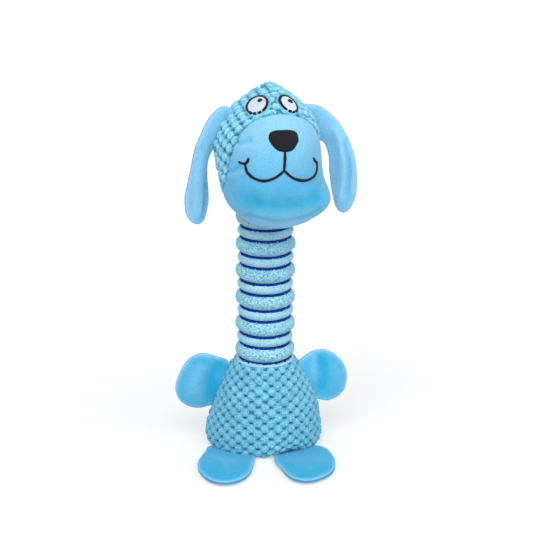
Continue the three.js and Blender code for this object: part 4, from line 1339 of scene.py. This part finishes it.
def flap_piece(name, flap, folds, painted_light, matrix, replaced):
    """A finished flap: its soft folds, one subdivision, then set in place by its matrix."""
    points, faces, inset = flap
    depth = fold_depth(folds, points[:, :2])
    seam_line = (inset == 0) & (points[:, 2] == 0)
    sink = depth * from_least(SEAM_FOLD, fade(0, SEAM_FOLD_REACH, inset))
    points = points - sink[:, None] * (0, 0, 1)
    piece = new_piece(name, placed(matrix, points), faces, SMOOTH)
    # Painted light per piece, painted shade in fold valleys, painted highlights on fold ridges, a
    # painted sheen along the edge
    mark(piece, "painted_light", painted_light - FOLD_PAINTED_SHADE * depth + EDGE_PAINTED_SHEEN * np.exp(-(inset / EDGE_SHEEN_WIDTH) ** 2))
    # The seam line, where painted shade darkens the seam's groove
    mark(piece, "seam", seam_line)
    rounder = piece.modifiers.new("rounder", "SUBSURF")
    rounder.levels = 1
    rounder.render_levels = 1
    apply_modifiers(piece)
    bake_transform(piece)
    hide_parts(*replaced)


def basis(x, y, z, place):
    """A frame with the given axes at a place."""
    matrix = Matrix((x, y, z)).transposed().to_4x4()
    matrix.translation = place
    return matrix


def hinged(name, face):
    """A joint's place, and a frame there that lies along a flap: X outwards and Z out of its face."""
    place, axis = joint(name)
    return place, basis((-axis).cross(face), -axis, face, place)


def build_arm(side):
    place, seat = hinged(f"{side}_arm_swing", Vector((0, -1, 0)))
    seat = seat @ Matrix.Rotation(math.radians(ARM_SET_BACK[side]), 4, "Y")
    flap = sewn_flap(ARM_OUTLINE[side], ARM_HALF, ARM_ROLL, SEAM_HALF, 0, ARM_SWELL)
    flap_piece(
        f"{side}_arm_plush", flap, ARM_FOLDS[side], ARM_PAINTED_LIGHT, seat,
        [f"{side}_arm_front", f"{side}_arm_back", f"{side}_arm_wadding"])


def build_foot(side):
    place, seat = hinged(f"{side}_foot_fold", Vector((0, 0, 1)))
    flap = sewn_flap(FOOT_OUTLINE[side], FOOT_HALF, FOOT_ROLL, FOOT_EDGE, 0, FOOT_SWELL)
    points = flap[0]
    rise = fade(*FOOT_RISE, points[:, 0])
    points[:, 2] = points[:, 2] * from_least(FOOT_ROOT, rise) - FOOT_DROP * (1 - rise)
    points[:, 2] = np.maximum(points[:, 2], FOOT_CLEAR - place.z)
    flap_piece(
        f"{side}_foot_plush", flap, FOOT_FOLDS[side], FOOT_PAINTED_LIGHT, seat,
        [f"{side}_foot_top", f"{side}_foot_sole", f"{side}_foot_wadding"])


def build_ear(side):
    place, axis = joint(f"{side}_ear_flop")
    up = Vector((0, 0, 1))
    seat = basis(up.cross(axis), up, axis, place)
    flap = sewn_flap(EAR_OUTLINE[side], EAR_HALF, EAR_ROLL, SEAM_HALF, EAR_HELD, EAR_SWELL)
    flap_piece(
        f"{side}_ear_plush", flap, EAR_FOLDS[side], EAR_PAINTED_LIGHT, seat,
        [f"{side}_ear_front", f"{side}_ear_back"])


# Squeaker, hidden in the torso

def use_finish(node, material):
    node.data.materials.clear()
    node.data.materials.append(material)


def finish_squeaker():
    shell = inner_finish("squeaker_plastic", (222, 228, 230), (240, 244, 245), 0.4, 6, 0.3)
    brass = inner_finish("reed_plastic", (180, 140, 56), (212, 176, 88), 0.35, 3)
    for name in ("squeaker_bulb", "squeaker_whistle", "squeaker_reed_holder"):
        use_finish(frame["nodes"][name], shell)
    use_finish(frame["nodes"]["squeaker_reed"], brass)


# Floor, light and camera

def camera_rays(tree):
    """1 for what the camera sees itself or in a gloss or glass, and 0 for light."""
    path = tree.nodes.new("ShaderNodeLightPath")
    total = path.outputs["Is Camera Ray"]
    for name in ("Is Glossy Ray", "Is Transmission Ray"):
        total = fed_node(tree, "Math", total, path.outputs[name])
        total.operation = "MAXIMUM"
    return total


def bare_tree(owner):
    """The node tree of a material or world, with no nodes in it."""
    owner.use_nodes = True
    owner.node_tree.nodes.clear()
    return owner.node_tree


def build_floor():
    reach = FLOOR_REACH * MM
    corners = [(-reach, -reach, 0), (reach, -reach, 0), (reach, reach, 0), (-reach, reach, 0)]
    mesh = bpy.data.meshes.new("floor")
    mesh.from_pydata(corners, [], [(0, 1, 2, 3)])
    floor = linked("floor", mesh)
    material = bpy.data.materials.new("pale_floor")
    tree = bare_tree(material)
    pale = fed_node(tree, "BsdfDiffuse", (0.62, 0.64, 0.66, 1))
    soft = fed_node(tree, "BsdfDiffuse", (0.52, 0.48, 0.44, 1))
    glow = fed_node(tree, "Emission", (0.45, 0.48, 0.52, 1))
    seen = fed_node(tree, "AddShader", soft, glow)
    choose = fed_node(tree, "MixShader", camera_rays(tree), pale, seen)
    fed_node(tree, "OutputMaterial", choose)
    mesh.materials.append(material)


def build_world():
    world = bpy.data.worlds.new("studio")
    bpy.context.scene.world = world
    tree = bare_tree(world)
    light = fed_node(tree, "Background", (0.93, 0.97, 1, 1), 0.6)
    white = fed_node(tree, "Background", (1, 1, 1, 1))
    choose = fed_node(tree, "MixShader", camera_rays(tree), light, white)
    fed_node(tree, "OutputWorld", choose)


def add_lamp(name, place, spread_degrees, power):
    """A soft lamp far away, so that the floor is lit evenly."""
    lamp = bpy.data.lights.new(name, "SUN")
    lamp.angle = math.radians(spread_degrees)
    lamp.energy = power
    item = linked(name, lamp)
    item.location = place
    item.rotation_euler = (-Vector(place)).to_track_quat("-Z", "Y").to_euler()


def build_camera():
    camera = bpy.data.cameras.new("camera")
    camera.lens = CAMERA_LENS
    camera.sensor_width = CAMERA_SENSOR
    item = linked("camera", camera)
    item.location = Vector(CAMERA_PLACE) * MM
    towards = (Vector(CAMERA_TARGET) - Vector(CAMERA_PLACE)) * MM
    item.rotation_euler = towards.to_track_quat("-Z", "Y").to_euler()
    bpy.context.scene.camera = item
    bpy.context.scene.view_settings.view_transform = "Standard"


build_camera()
build_world()
build_floor()
for lamp_name, lamp_facts in LAMPS.items():
    add_lamp(lamp_name, *lamp_facts)

build_torso()
build_neck()
head_rows, head_angles, head_form = head_grid()
head_points, head_faces = closed_grid(head_form)
head_tree = BVHTree.FromPolygons(head_points.tolist(), head_faces)
panel = panel_distance(head_form)
build_head(head_rows, head_angles, head_form, panel, head_tree)
build_muzzle(head_form, panel)
build_eyes(head_tree)
build_nose_and_mouth(head_tree)
for side_name in SIDES:
    build_arm(side_name)
    build_foot(side_name)
    build_ear(side_name)
finish_squeaker()
